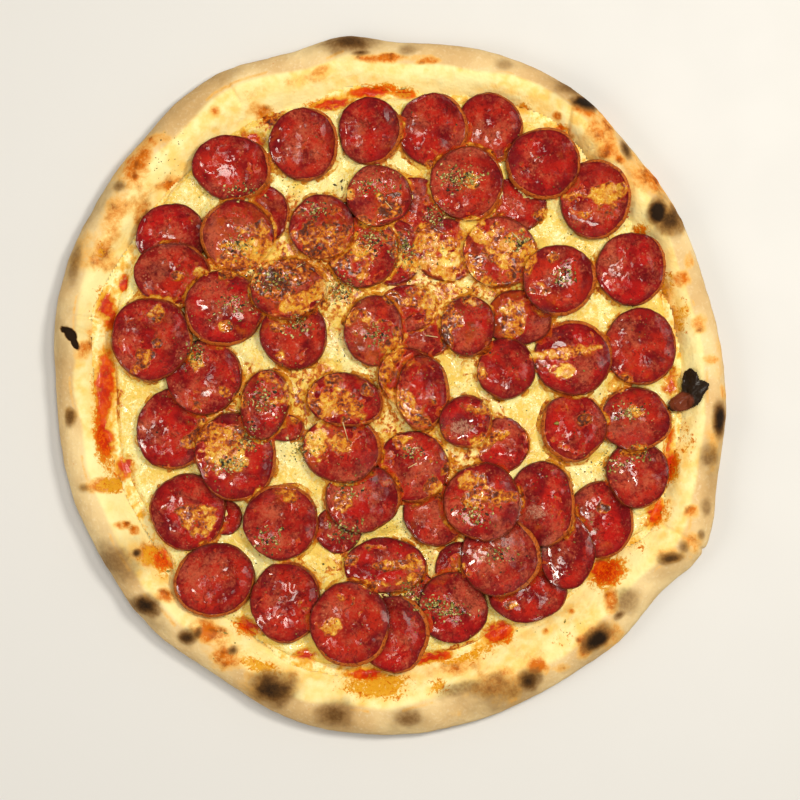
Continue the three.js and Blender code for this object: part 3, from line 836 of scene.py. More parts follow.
def most_of(points, table, wobble, outer, inner):
    """The strongest oval of a table at each point: 0 past outer, full inside inner, in shares of an oval."""
    pixels = pixels_of(points)
    found = np.zeros(len(points))
    for *oval, strength in table:
        reach = oval_distance(pixels, *oval) + wobble
        found = np.maximum(found, strength * smooth_step(reach, outer, inner))
    return found


def spots(points, table, seed, soft=0.45, ragged=0.35):
    """How much each point lies in the ovals of a table, with ragged edges."""
    return most_of(points, table, ragged * fractal(points, 7, seed), 1 + soft, 1 - soft)


def sauce_showing(points, soft=0.9):
    """How much the sauce shows at each point."""
    return spots(points, SAUCE_SHOWS, seed=15, soft=soft)


def line_distance(points, line):
    """Distance in mm from each point to a line drawn through pixels."""
    found = np.full(len(points), FAR)
    corners = np.array([place_of(x, y) for x, y in line])
    for start, end in zip(corners[:-1], corners[1:]):
        along = end - start
        share = np.clip(((points[:, :2] - start) @ along) / (along @ along), 0, 1)
        gap = points[:, :2] - start - share[:, None] * along
        found = np.minimum(found, np.hypot(gap[:, 0], gap[:, 1]))
    return found


# ---------------------------------------------------------------- the solids that everything follows


def node_mesh(name):
    """Corners in mm and faces of a solid."""
    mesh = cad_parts[name].data
    corners = np.zeros(len(mesh.vertices) * 3)
    mesh.vertices.foreach_get("co", corners)
    return corners.reshape(-1, 3) / MM, [tuple(face.vertices) for face in mesh.polygons]


def tree_of(*meshes):
    """A search tree over several (corners, faces) meshes. It is None over none."""
    if not meshes:
        return None
    corners, faces, start = [], [], 0
    for points, polygons in meshes:
        corners.extend(map(tuple, points))
        faces.extend(tuple(start + corner for corner in face) for face in polygons)
        start += len(points)
    return BVHTree.FromPolygons(corners, faces)


def heights(tree, points, from_below=False):
    """Height of the first surface met from above, or from below, at each point. NaN where there is none."""
    start, way = (FROM_BELOW, UP) if from_below else (FROM_ABOVE, DOWN)
    found = np.full(len(points), np.nan)
    if tree is None:
        return found
    for index, (x, y) in enumerate(points[:, :2].tolist()):
        hit = tree.ray_cast((x, y, start), way)[0]
        if hit is not None:
            found[index] = hit[2]
    return found


SLICE_NAMES = sorted(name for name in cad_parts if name.startswith("sausage_slice_"))
crust_corners = np.unique(np.round(node_mesh("crust")[0], 3), axis=0)
hub = crust_corners[np.argmin(np.hypot(crust_corners[:, 0], crust_corners[:, 1]))][:2]

# ---------------------------------------------------------------- making pieces


def put(name, data):
    """A new object in the scene."""
    made = bpy.data.objects.new(name, data)
    bpy.context.scene.collection.objects.link(made)
    return made


def make_piece(name, points, faces, material, replaces, masks):
    """A smooth mesh piece from points in mm. masks are values for each point that the material reads."""
    mesh = bpy.data.meshes.new(name)
    mesh.from_pydata((np.asarray(points) * MM).tolist(), [], faces)
    for mask, values in masks.items():
        layer = mesh.attributes.new(mask, "FLOAT", "POINT")
        layer.data.foreach_set("value", np.asarray(values, np.float32))
    mesh.shade_smooth()
    mesh.materials.append(material)
    piece = put(name, mesh)
    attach(piece, "root")
    if replaces:
        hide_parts(*replaces)


class Grid:
    """A level grid of points over what the corners span, for sheets that are heights above it."""

    def __init__(self, step, corners):
        low, high = corners.min(axis=0), corners.max(axis=0)
        across = np.arange(low[0], high[0], step)
        up = np.arange(low[1], high[1], step)
        x, y = np.meshgrid(across, up)
        self.step = step
        self.shape = x.shape
        self.points = np.stack([x.ravel(), y.ravel(), np.zeros(x.size)], axis=1)

    def blur(self, values, width):
        """Values averaged over a round window of about that width in mm."""
        reach = max(1, round(2 * width / self.step))
        offsets = np.arange(-reach, reach + 1) * self.step
        weights = np.exp(-((offsets / width) ** 2) / 2)
        weights /= weights.sum()
        field = values.reshape(self.shape)
        for axis in (0, 1):
            margins = [(reach, reach) if axis == side else (0, 0) for side in (0, 1)]
            padded = np.pad(field, margins, mode="edge")
            length = field.shape[axis]
            field = sum(
                weight * np.take(padded, range(shift, shift + length), axis=axis)
                for shift, weight in enumerate(weights)
            )
        return field.ravel()

    def spread(self, values, steps, slope):
        """The highest value near each point, less slope mm for each mm away."""
        field = values.reshape(self.shape)
        for _ in range(steps):
            padded = np.pad(field, 1, mode="edge")
            best = field
            for row, column in ((0, 1), (2, 1), (1, 0), (1, 2), (0, 0), (0, 2), (2, 0), (2, 2)):
                fall = slope * self.step * math.hypot(row - 1, column - 1)
                moved = padded[row : row + field.shape[0], column : column + field.shape[1]] - fall
                best = np.maximum(best, moved)
            field = best
        return field.ravel()

    def quads(self, keep):
        """The four-cornered faces of the grid whose corners are all kept."""
        kept = keep.reshape(self.shape)
        row, column = np.nonzero(kept[:-1, :-1] & kept[1:, :-1] & kept[:-1, 1:] & kept[1:, 1:])
        corner = row * self.shape[1] + column
        above = corner + self.shape[1]
        return np.stack([corner, corner + 1, above + 1, above], axis=1)

    def sheet(self, height, keep):
        """Points and faces of the kept part at those heights, and which of the grid's points they are."""
        used, faces = np.unique(self.quads(keep), return_inverse=True)
        points = self.points[used].copy()
        points[:, 2] = height[used]
        return points, faces.reshape(-1, 4).tolist(), used


# ---------------------------------------------------------------- shader nodes


class Painter:
    """Builds one material, with a short method for each kind of shader node that is used here."""

    def __init__(self, name):
        self.material = bpy.data.materials.new(name)
        self.material.use_nodes = True
        self.nodes = self.material.node_tree.nodes
        self.links = self.material.node_tree.links
        self.nodes.clear()
        self.shader = self.nodes.new("ShaderNodeBsdfPrincipled")
        output = self.nodes.new("ShaderNodeOutputMaterial")
        self.links.new(self.shader.outputs["BSDF"], output.inputs["Surface"])
        self.place = self.nodes.new("ShaderNodeTexCoord").outputs["Object"]

    def feed(self, socket, value):
        """Links a socket, or sets it to a number or a colour."""
        if isinstance(value, bpy.types.NodeSocket):
            self.links.new(value, socket)
        elif isinstance(value, tuple):
            socket.default_value = linear(value)
        else:
            socket.default_value = value

    def surface(self, **sockets):
        """Sets the shader's sockets, with _ for a space in a name."""
        for name, value in sockets.items():
            self.feed(self.shader.inputs[name.replace("_", " ")], value)

    def mask(self, name):
        """A value that the mesh holds for each point."""
        node = self.nodes.new("ShaderNodeAttribute")
        node.attribute_name = name
        return node.outputs["Fac"]

    def grain(self, size, detail=3.0, roughness=0.5, distortion=0.0, seed=0.0):
        """Noise from 0 to 1 with lumps of that size in mm."""
        node = self.nodes.new("ShaderNodeTexNoise")
        node.noise_dimensions = "4D"
        self.links.new(self.place, node.inputs["Vector"])
        node.inputs["W"].default_value = seed
        node.inputs["Scale"].default_value = 1 / (size * MM)
        node.inputs["Detail"].default_value = detail
        node.inputs["Roughness"].default_value = roughness
        node.inputs["Distortion"].default_value = distortion
        return node.outputs["Fac"]

    def cells(self, size):
        """Distance from the middle of random cells of that size in mm."""
        node = self.nodes.new("ShaderNodeTexVoronoi")
        self.links.new(self.place, node.inputs["Vector"])
        node.inputs["Scale"].default_value = 1 / (size * MM)
        return node.outputs["Distance"]

    def math(self, operation, *values):
        """The outcome of an operation on two or three values."""
        node = self.nodes.new("ShaderNodeMath")
        node.operation = operation
        for socket, value in zip(node.inputs, values):
            self.feed(socket, value)
        return node.outputs["Value"]

    def plus(self, first, second):
        """The sum of two values."""
        return self.math("ADD", first, second)

    def minus(self, first, second):
        """The first value less the second."""
        return self.math("SUBTRACT", first, second)

    def times(self, first, second, added=0.0):
        """The product of two values, with a third added to it."""
        return self.math("MULTIPLY_ADD", first, second, added)

    def between(self, value, low, high, to_low=0.0, to_high=1.0):
        """A smooth change from to_low where value is low to to_high where it is high."""
        node = self.nodes.new("ShaderNodeMapRange")
        node.interpolation_type = "SMOOTHSTEP"
        numbers = {"Value": value, "From Min": low, "From Max": high, "To Min": to_low, "To Max": to_high}
        for name, number in numbers.items():
            self.feed(node.inputs[name], number)
        return node.outputs["Result"]

    def mix(self, share, first, second):
        """The first colour where share is 0 and the second where it is 1."""
        node = self.nodes.new("ShaderNodeMix")
        node.data_type = "RGBA"
        self.feed(node.inputs[0], share)
        self.feed(node.inputs[6], first)
        self.feed(node.inputs[7], second)
        return node.outputs[2]

    def ramp(self, value, *stops):
        """Colours spread evenly over values from 0 to 1."""
        node = self.nodes.new("ShaderNodeValToRGB")
        self.feed(node.inputs["Fac"], value)
        band = node.color_ramp
        while len(band.elements) < len(stops):
            band.elements.new(0.5)
        for index, colour in enumerate(stops):
            band.elements[index].position = index / (len(stops) - 1)
            band.elements[index].color = linear(colour)
        return node.outputs["Color"]

    def ragged(self, mask, grain, low, high, amount=0.5):
        """A mask whose edge is broken up by a grain."""
        return self.between(self.times(grain, amount, mask), low + amount / 2, high + amount / 2)

    def bump(self, height, distance, normal=None):
        """A normal bent as if the surface rose by distance mm where height is 1."""
        node = self.nodes.new("ShaderNodeBump")
        node.inputs["Strength"].default_value = 1.0
        node.inputs["Distance"].default_value = distance * MM
        self.links.new(height, node.inputs["Height"])
        if normal is not None:
            self.links.new(normal, node.inputs["Normal"])
        return node.outputs["Normal"]


def dough_material():
    """Baked dough: floury outside, buttery inside the crest, golden to toasted and charred in places."""
    p = Painter("baked_dough")
    broad, middle, fine = p.grain(30, 3), p.grain(6, 4), p.grain(1.6, 3)
    flour = p.mix(p.between(broad, 0.35, 0.65), FLOURY_TAN, FLOURY_CREAM)
    flour = p.mix(p.between(fine, 0.5, 0.75, 0.0, 0.3), flour, FLOUR_DUST)
    butter = p.mix(p.between(middle, 0.3, 0.7), BUTTER, PALE_BUTTER)
    butter = p.mix(p.between(broad, 0.4, 0.7), butter, PALE_BUTTER)
    colour = p.mix(p.ragged(p.mask("glaze"), middle, 0.2, 0.8), flour, butter)
    # olive-brown dusk: browning round the chars, painted shade along the rim's left side, and darker towards
    # the foot of the outer wall
    dusk_and_shade = p.times(p.mask("dusk_and_shade"), p.between(middle, 0.2, 0.75, 0.6, 1.0))
    colour = p.mix(dusk_and_shade, colour, DUSK_AND_SHADE)
    lace = p.grain(2.6, 5, 0.65, distortion=1.2, seed=3.0)
    wear = p.times(p.minus(p.plus(middle, lace), 1.0), 1.5)
    toast = p.times(wear, p.mask("toast"), p.mask("toast"))
    colour = p.mix(p.between(toast, 0.1, 0.5, 0.0, 0.8), colour, GOLDEN)
    colour = p.mix(p.between(toast, 0.25, 0.8), colour, p.mix(p.between(middle, 0.5, 0.7), TOAST, DARK_TOAST))
    browned = p.ragged(p.mask("browned"), lace, 0.45, 0.75, 2.6)
    colour = p.mix(browned, colour, p.mix(p.between(lace, 0.55, 0.65), CHEESE_YELLOW, CHEESE_ORANGE))
    pulp = p.mix(p.between(lace, 0.45, 0.6), SAUCE_RED, SAUCE_ORANGE)
    sauce = p.mask("sauce")
    stain = p.times(p.ragged(sauce, lace, 0.1, 0.45, 2.0), p.between(sauce, 0.0, 0.15))
    colour = p.mix(stain, colour, CHEESE_YELLOW)
    colour = p.mix(p.ragged(sauce, lace, 0.3, 0.7, 2.0), colour, pulp)
    char = p.mask("char")
    colour = p.mix(p.times(p.ragged(char, middle, 0.0, 0.4, 0.3), 0.6), colour, DUSK_AND_SHADE)
    colour = p.mix(p.ragged(char, fine, 0.15, 0.7, 0.4), colour, CHAR_BROWN)
    colour = p.mix(p.ragged(char, lace, 0.45, 0.9, 0.4), colour, CHAR_BLACK)
    relief = p.bump(fine, 0.4, p.bump(middle, 0.8))
    p.surface(
        Base_Color=colour,
        Specular_IOR_Level=0.12,
        Roughness=p.between(p.minus(p.mask("glaze"), char), 0.2, 0.9, 0.8, 0.45),
        Normal=relief,
    )
    return p.material


def cheese_material(name):
    """Melted cheese: pale and glossy, orange and brown where it toasted, stained by oil, sauce and meat."""
    p = Painter(name)
    broad, middle = p.grain(15, 3, distortion=0.4), p.grain(4.0, 4, 0.6, distortion=0.6)
    fine = p.grain(1.5, 4, 0.65, distortion=0.5)
    mask = p.mask("browned")
    blotch = p.grain(3.4, 2, 0.5, distortion=1.0, seed=3.0)
    speckle = p.times(p.minus(fine, 0.5), 0.7, p.minus(blotch, 0.5))
    brown = p.times(speckle, p.between(mask, 0.0, 0.5, 0.2, 2.2), mask)
    pale = p.mix(p.between(p.plus(broad, fine), 0.9, 1.1), CHEESE_PALE, CHEESE_WHITE)
    blend = p.between(p.plus(middle, fine), 0.85, 1.15)
    golden = p.ramp(blend, CHEESE_ORANGE, CHEESE_YELLOW, CHEESE_YELLOW, CHEESE_PALE)
    pale = p.mix(p.between(p.plus(p.mask("oil"), middle), 1.0, 1.6), pale, golden)
    shades = p.ramp(brown, CHEESE_PALE, CHEESE_YELLOW, CHEESE_ORANGE, CHEESE_RUST, CHEESE_BROWN)
    colour = p.mix(p.between(brown, 0.1, 0.5), pale, shades)
    sauce = p.mix(p.between(middle, 0.4, 0.6), SAUCE_ORANGE, SAUCE_RED)
    colour = p.mix(p.ragged(p.mask("sauce"), middle, 0.15, 0.5, 1.4), colour, CHEESE_YELLOW)
    colour = p.mix(p.ragged(p.mask("sauce"), middle, 0.35, 0.75, 1.4), colour, sauce)
    stained = p.mix(blend, MEAT_WARM, p.mix(p.between(broad, 0.4, 0.6), OIL_ORANGE, CHEESE_RUST))
    colour = p.mix(p.ragged(p.mask("veil"), middle, 0.15, 1.0, 1.2), colour, stained)
    relief = p.bump(fine, 0.7, p.bump(middle, 1.3))
    p.surface(
        Base_Color=colour,
        Specular_IOR_Level=0.25,
        Roughness=p.between(fine, 0.4, 0.6, 0.2, 0.38),
        Normal=relief,
        Subsurface_Weight=0.12,
        Subsurface_Radius=Vector((0.003, 0.0016, 0.0006)),
        Subsurface_Scale=1.0,
        Coat_Weight=0.36,
        Coat_Roughness=0.07,
    )
    return p.material


def sauce_material():
    """Tomato sauce with pulp in it, under a buttery film of cheese except where it shows."""
    p = Painter("tomato_sauce")
    middle, fine = p.grain(4.5, 4, 0.6), p.grain(1.3, 3)
    sauce = p.ramp(p.between(middle, 0.25, 0.75), SAUCE_DEEP, SAUCE_RED, SAUCE_ORANGE)
    film = p.ramp(p.between(middle, 0.3, 0.7), CHEESE_YELLOW, BUTTER, PALE_BUTTER, PALE_BUTTER)
    film = p.mix(p.ragged(p.mask("sauce"), middle, 0.1, 0.45, 1.6), film, CHEESE_YELLOW)
    colour = p.mix(p.ragged(p.mask("sauce"), middle, 0.3, 0.7, 1.6), film, sauce)
    p.surface(
        Base_Color=colour,
        Specular_IOR_Level=0.12,
        Roughness=p.between(fine, 0.3, 0.7, 0.3, 0.5),
        Normal=p.bump(fine, 0.3, p.bump(middle, 0.7)),
        Coat_Weight=0.1,
        Coat_Roughness=0.1,
    )
    return p.material


def sausage_material():
    """Cured sausage: deep red with a haze and smears of fat, browned and wet in places, in a thin casing,
    with painted shade, painted glare and a casing painted lighter where it stands up.
    """
    p = Painter("sausage")
    rind, tone, toast, wet, film = (p.mask(name) for name in ("rind", "tone", "toast", "wet", "film"))
    broad, middle = p.grain(13, 3, distortion=0.5), p.grain(3.4, 4, 0.6)
    fine = p.grain(0.9, 4, 0.75, distortion=0.8)
    meat = p.mix(p.between(broad, 0.36, 0.6), MEAT_DEEP, p.mix(tone, MEAT_RED, MEAT_WARM))
    meat = p.mix(p.between(p.times(middle, 5.0, rind), 8.0, 2.0, 0.0, 0.75), meat, MEAT_DEEP)
    grit = p.minus(p.grain(1.6, 4, 0.7, distortion=0.4, seed=6.0), 0.5)
    haze = p.times(p.mask("haze"), 0.24, p.grain(7, 4, 0.65, seed=2.0))
    haze = p.times(grit, 0.8, haze)
    meat = p.mix(p.between(haze, 0.46, 0.86, 0.0, 0.9), meat, MEAT_PINK)
    patches = p.between(p.grain(6, 2, seed=3.0), 0.52, 0.66, 0.0, 0.6)
    meat = p.mix(p.times(p.between(p.cells(1.9), 0.34, 0.1), patches), meat, MEAT_FAT)
    flecks = p.grain(2.6, 4, 0.7, distortion=0.8, seed=4.0)
    meat = p.mix(p.between(flecks, 0.5, 0.64, 0.0, 0.6), meat, MEAT_DARK)
    # pale smears: partly fat, partly a painted highlight where glare would fall on the wet meat
    smear_and_glare = p.ragged(p.mask("pale"), p.grain(1.8, 3, 0.7, distortion=1.5, seed=13.0), 0.5, 1.3, 3.2)
    meat = p.mix(p.times(smear_and_glare, p.between(p.mask("pale"), 0.0, 0.6, 0.0, 0.75)), meat, MEAT_GLAZE_AND_GLARE)
    oil = p.times(toast, 0.35, p.grain(8, 4, 0.65, distortion=0.5, seed=7.0))
    oil = p.times(film, 0.2, oil)
    meat = p.mix(p.between(oil, 0.64, 0.88, 0.0, 0.85), meat, OIL_ORANGE)
    brown = p.times(toast, 0.5, p.grain(5, 4, 0.65, seed=9.0))
    brown = p.times(film, 0.2, brown)
    meat = p.mix(p.between(brown, 0.7, 0.95, 0.0, 0.85), meat, MEAT_BROWN)
    # painted shade: a dark line just inside the casing, where the raised rim would shade the meat
    painted_rim_shadow = p.times(p.between(rind, 1.2, 0.3), p.between(middle, 0.35, 0.6, 0.0, 0.7))
    meat = p.mix(painted_rim_shadow, meat, MEAT_DARK)
    # painted light and shade: the casing is lighter where its rim stands up, mostly on the side towards the
    # lamps, and darker where it lies low
    standing_lit = p.times(p.minus(middle, 0.5), 1.2, p.mask("stand"))
    casing = p.ramp(p.between(standing_lit, 0.0, 0.9), CASING_DARK, CASING, CASING_LIGHT)
    casing = p.mix(p.between(grit, 0.0, 0.1, 0.0, 0.75), casing, CASING_DARK)
    colour = p.mix(p.between(p.times(fine, 0.5, rind), 0.55, 0.3), meat, casing)
    # painted shade: the meat is darkened next to and under the slices that lie on it, in place of their
    # shadow
    colour = p.mix(p.times(p.mask("crevice_shade"), 0.8), colour, MEAT_DARK)
    ripples = p.grain(2.0, 4, 0.7, distortion=1.4, seed=5.0)
    ripples = p.times(ripples, p.between(wet, 0.0, 1.0, 0.4, 1.0))
    relief = p.bump(ripples, 1.3, p.bump(fine, 0.7, p.bump(middle, 0.9)))
    glossy = p.times(p.grain(5, 4, 0.65, seed=11.0), 1.8, p.times(wet, 0.9, -0.75))
    p.surface(
        Base_Color=colour,
        Specular_IOR_Level=0.12,
        Roughness=p.between(glossy, 0.0, 0.8, 0.55, 0.2),
        Normal=relief,
        Coat_Weight=p.between(glossy, 0.0, 0.7, 0.04, 1.0),
        Coat_Roughness=0.08,
    )
    return p.material


def char_material():
    """Burnt cheese: black and matt with a few brown places and wet glints."""
    p = Painter("burnt_cheese")
    middle, fine = p.grain(3, 4), p.grain(0.8, 3)
    colour = p.mix(p.ragged(p.mask("toast"), middle, 0.3, 0.8, 0.6), CHAR_BLACK, CRISP_RUST)
    p.surface(
        Base_Color=colour,
        Specular_IOR_Level=0.15,
        Roughness=p.between(middle, 0.35, 0.65, 0.35, 0.8),
        Normal=p.bump(fine, 0.4, p.bump(middle, 1.2)),
        Coat_Weight=0.15,
        Coat_Roughness=0.12,
    )
    return p.material


def herb_material():
    """Dried leaves: khaki and olive green to nearly black, and straw-coloured stalks."""
    p = Painter("dried_herbs")
    fine = p.grain(0.6, 2)
    shade = p.times(fine, 0.3, p.minus(p.mask("dark"), 0.15))
    colour = p.ramp(shade, HERB_PALE, HERB_PALE, HERB_GREEN, HERB_GREEN, HERB_DARK, HERB_BLACK)
    colour = p.mix(p.mask("straw"), colour, STRAW)
    p.surface(Base_Color=colour, Roughness=0.75, Normal=p.bump(fine, 0.1))
    return p.material


def floor_material():
    """A pale, matt floor."""
    p = Painter("pale_floor")
    p.surface(Base_Color=FLOOR_GREY, Roughness=p.between(p.grain(40, 2), 0.3, 0.7, 0.6, 0.75))
    return p.material


# ---------------------------------------------------------------- crust


def crust_rings():
    """The solid crust's corners by side and ring, from under the rim, up over it and down to the floor."""
    outer = crust_corners[np.hypot(*(crust_corners[:, :2] - hub).T) > 1]
    angle = np.arctan2(outer[:, 1] - hub[1], outer[:, 0] - hub[0])
    radius = np.hypot(*(outer[:, :2] - hub).T)
    side = np.round(angle / math.tau * RIM_SIDES).astype(int) % RIM_SIDES
    rows = []
    for number in range(RIM_SIDES):
        here = np.nonzero(side == number)[0]
        middle = (radius[here].min() + radius[here].max()) / 2
        order = np.argsort(np.arctan2(outer[here, 2] - FLOOR_THICKNESS, radius[here] - middle))
        rows.append(outer[here[order]])
    return np.array(rows)


def through(controls, steps, closed):
    """A smooth curve through rows of control values, with that many steps between each two."""
    if closed:
        padded = np.concatenate([controls[-1:], controls, controls[:2]])
    else:
        padded = np.concatenate([controls[:1], controls, controls[-1:]])
    parts = []
    for share in np.arange(steps) / steps:
        a, b, c, d = padded[:-3], padded[1:-2], padded[2:-1], padded[3:]
        parts.append(
            b
            + 0.5 * share * (c - a)
            + share**2 * (a - 2.5 * b + 2 * c - 0.5 * d)
            + share**3 * (1.5 * (b - c) + 0.5 * (d - a))
        )
    curve = np.stack(parts, axis=1).reshape(-1, *controls.shape[1:])
    return curve if closed else np.concatenate([curve, controls[-1:]])


def grid_normals(grid):
    """Outward normals of a (side, ring) grid that closes round its sides."""
    round_it = np.roll(grid, -1, axis=0) - np.roll(grid, 1, axis=0)
    along_it = np.gradient(grid, axis=1)
    normal = np.cross(round_it, along_it)
    return normal / np.maximum(np.linalg.norm(normal, axis=2, keepdims=True), 1e-9)


def crust_lift(points, toast, hollow):
    """How far the surface rises from the solid's: dents and blisters, and creases that sink."""
    lift = 0.7 * fractal(points, 16, 21) + 0.25 * fractal(points, 5, 22)
    lift += 0.5 * spots(points, CHARRED, seed=11, soft=0.8, ragged=0.1)
    lift += 0.5 * toast * (1 + noise(points, 3, 23)) - 1.6 * hollow
    for crease in CREASES:
        lift -= CREASE_DEPTH * np.exp(-((line_distance(points, crease) / CREASE_WIDTH) ** 2))
    return lift * smooth_step(points[:, 2], 0.3, 3.0)


def crust_faces(sides, rings):
    """Faces round the rim, and two fans that close them: under the pizza and on the floor inside the rim."""
    side = np.arange(sides)[:, None]
    ring = np.arange(rings - 1)[None, :]
    corner = side * rings + ring
    beyond = (side + 1) % sides * rings + ring
    faces = np.stack([corner, beyond, beyond + 1, corner + 1], axis=2).reshape(-1, 4).tolist()
    under, floor = sides * rings, sides * rings + 1
    for number in range(sides):
        following = (number + 1) % sides
        faces.append((under, following * rings, number * rings))
        faces.append((floor, number * rings + rings - 1, following * rings + rings - 1))
    return faces


def make_crust(material):
    """The crust. ring_share runs from 0 under the rim, over its crest at about a half, to 1 on the floor."""
    grid = through(crust_rings(), STEPS_PER_SIDE, closed=True)
    grid = through(grid.transpose(1, 0, 2), STEPS_PER_RING, closed=False).transpose(1, 0, 2)
    sides, rings = grid.shape[:2]
    points = grid.reshape(-1, 3)
    ring_share = np.tile(np.arange(rings) / (rings - 1), sides)
    hollow = spots(points, BURNT_HOLLOW, seed=18, soft=0.2, ragged=0.2)
    char = np.maximum(spots(points, CHARRED, seed=11, soft=0.9, ragged=0.5), 1.4 * hollow)
    toast = spots(points, TOASTED, seed=12, soft=0.9, ragged=0.9)
    points = points + crust_lift(points, toast, hollow)[:, None] * grid_normals(grid).reshape(-1, 3)
    points[:, 2] = np.maximum(points[:, 2], 0.0)
    crest = ring_share + noise(points, 22, 31) * 0.06
    toasted_line = 0.35 * np.exp(-(((crest - 0.53) / 0.02) ** 2)) * (noise(points, 14, 32) > 0)
    glaze = smooth_step(crest, 0.50, 0.62)
    # wall is 1 low on the rim's outside, which is made darker towards its foot
    wall = smooth_step(ring_share, 0.34, 0.16)
    masks = {
        "char": char,
        "toast": np.maximum(toast, toasted_line),
        "dusk_and_shade": np.maximum(spots(points, DUSKY_AND_SHADED, seed=13, soft=0.8), 0.6 * wall),
        "glaze": glaze,
        "browned": spots(points, BROWNED_CHEESE, seed=14, soft=0.8) * glaze,
        "sauce": sauce_showing(points, 0.8) * smooth_step(ring_share, 0.6, 0.7),
    }
    masks = {name: np.append(values, [0.0, 0.0]) for name, values in masks.items()}
    points = np.concatenate([points, [[*hub, 0.0], [*hub, FLOOR_THICKNESS]]])
    faces = crust_faces(sides, rings)
    make_piece("pizza_crust", points, faces, material, ["crust"], masks)
    return points, faces


# ---------------------------------------------------------------- sauce and cheese


def sheet_heights(grid, name, ground, edge):
    """A solid sheet's top, sinking under the ground past its edge, and where the solid is."""
    top = heights(tree_of(node_mesh(name)), grid.points)
    inside = ~np.isnan(top)
    return grid.blur(np.where(inside, top, ground - edge), 1.6), inside


def browning(points):
    """How browned the cheese is away from the single spots: most in the oven's hottest part of the pie."""
    return most_of(points, BROWNED_AREAS, 0.3 * noise(points, 12, 45), 1.25, 0.5)


def melting(points):
    """How much cheese melted over the toppings at each point, and how brown it is."""
    pixels = pixels_of(points)
    wobble = 0.55 * fractal(points, 8, 81)
    amount = np.zeros(len(points))
    brown = np.full(len(points), 0.55)
    for *oval, strength, tone in MELTED:
        reach = oval_distance(pixels, *oval) + wobble
        here = strength * smooth_step(reach, 1.6, 0.3)
        weight = here / np.maximum(here + amount, TINY)
        brown = brown + weight * (tone + 0.05 - brown)
        amount = np.maximum(amount, here)
    broad = browning(points) * smooth_step(fractal(points, 15, 84), -0.35, 0.4)
    return np.maximum(amount, broad), brown


def make_sauce(grid, ground, limit, material):
    """The sauce, sunk under the cheese except where it shows."""
    top, _ = sheet_heights(grid, "sauce", ground, 1.2)
    bare = np.maximum(sauce_showing(grid.points), smooth_step(noise(grid.points, 11, 42), 0.1, 0.5))
    top += 0.35 * fractal(grid.points, 6, 41) - 0.9 * (1 - bare)
    keep = (top > ground - EDGE_DEPTH) & (ground > 1)
    points, faces, _ = grid.sheet(np.minimum(top, limit), keep)
    masks = {"sauce": sauce_showing(points)}
    make_piece("sauce_sheet", points, faces, material, ["sauce"], masks)


def make_cheese(grid, ground, underside, limit, material):
    """The sheet of cheese, which rises a little round the slices that lie in it."""
    top, inside = sheet_heights(grid, "cheese", ground, 1.6)
    lumps = 0.75 * fractal(grid.points, 9, 43) + 0.3 * fractal(grid.points, 3.5, 44)
    shows = sauce_showing(grid.points, 0.45)
    top = top + lumps - 2.2 * shows
    covered = ~np.isnan(underside)
    raised = grid.spread(np.where(covered, underside - 0.3, -FAR), 7, 0.75)
    room = 3.5 * smooth_step(grid.blur(inside.astype(float), 2.5), 0.55, 0.95) * smooth_step(shows, 0.4, 0.1)
    top = np.minimum(np.maximum(top, np.minimum(raised, top + room)), limit)
    points, faces, used = grid.sheet(top, (top > ground - EDGE_DEPTH) & (ground > 1))
    near_slices = grid.blur(covered.astype(float), 2.5)[used]
    masks = {
        "browned": np.maximum(spots(points, BROWNED_CHEESE, seed=14, soft=0.8), 0.75 * browning(points)),
        "sauce": 0.8 * sauce_showing(points),
        "oil": near_slices,
        "veil": 0.3 * near_slices,
    }
    make_piece("cheese_sheet", points, faces, material, ["cheese"], masks)
    return points, faces


def make_sheets(grid, crust_tree, slices_tree, cheese, sauce):
    """The sauce and the cheese, both under the slices. The cheese's points and faces are returned."""
    ground = heights(crust_tree, grid.points)
    ground = np.where(np.isnan(ground), 0.0, ground)
    underside = heights(slices_tree, grid.points, from_below=True)
    limit = np.where(np.isnan(underside), FAR, underside - SLICE_GAP)
    make_sauce(grid, ground, limit, sauce)
    return make_cheese(grid, ground, underside, limit, cheese)


# ---------------------------------------------------------------- sausage slices

ANGLES = np.arange(SLICE_SIDES) * math.tau / SLICE_SIDES
WAYS = np.stack([np.cos(ANGLES), np.sin(ANGLES)], axis=1)


def hull(points):
    """The corners of the convex outline of flat points, anticlockwise."""
    ordered = sorted(set(map(tuple, np.round(points, 4))))
    sides = []
    for line in (ordered, ordered[::-1]):
        chain = []
        for x, y in line:
            while len(chain) > 1:
                (ax, ay), (bx, by) = chain[-2:]
                if (bx - ax) * (y - ay) - (by - ay) * (x - ax) > 0:
                    break
                chain.pop()
            chain.append((x, y))
        sides.extend(chain[:-1])
    return np.array(sides)


def reach_of(outline, middle):
    """Distance from the middle to a convex outline all round, smoothed to a round curve."""
    ends = np.roll(outline, -1, axis=0)
    found = np.full(SLICE_SIDES, FAR)
    for start, end in zip(outline - middle, ends - middle):
        along = end - start
        bottom = WAYS[:, 0] * along[1] - WAYS[:, 1] * along[0]
        bottom = np.where(abs(bottom) < 1e-9, 1e-9, bottom)
        reach = (start[0] * along[1] - start[1] * along[0]) / bottom
        share = (start[0] * WAYS[:, 1] - start[1] * WAYS[:, 0]) / bottom
        hit = (reach > 0) & (share >= -TINY) & (share <= 1 + TINY)
        found = np.where(hit, np.minimum(found, reach), found)
    waves = np.fft.rfft(found)
    waves[7:] = 0
    return np.fft.irfft(waves, SLICE_SIDES) * 1.012


def powers(x, y):
    """The terms of a fourth-power surface."""
    return np.stack([x**i * y**j for i in range(5) for j in range(5 - i)], axis=1)


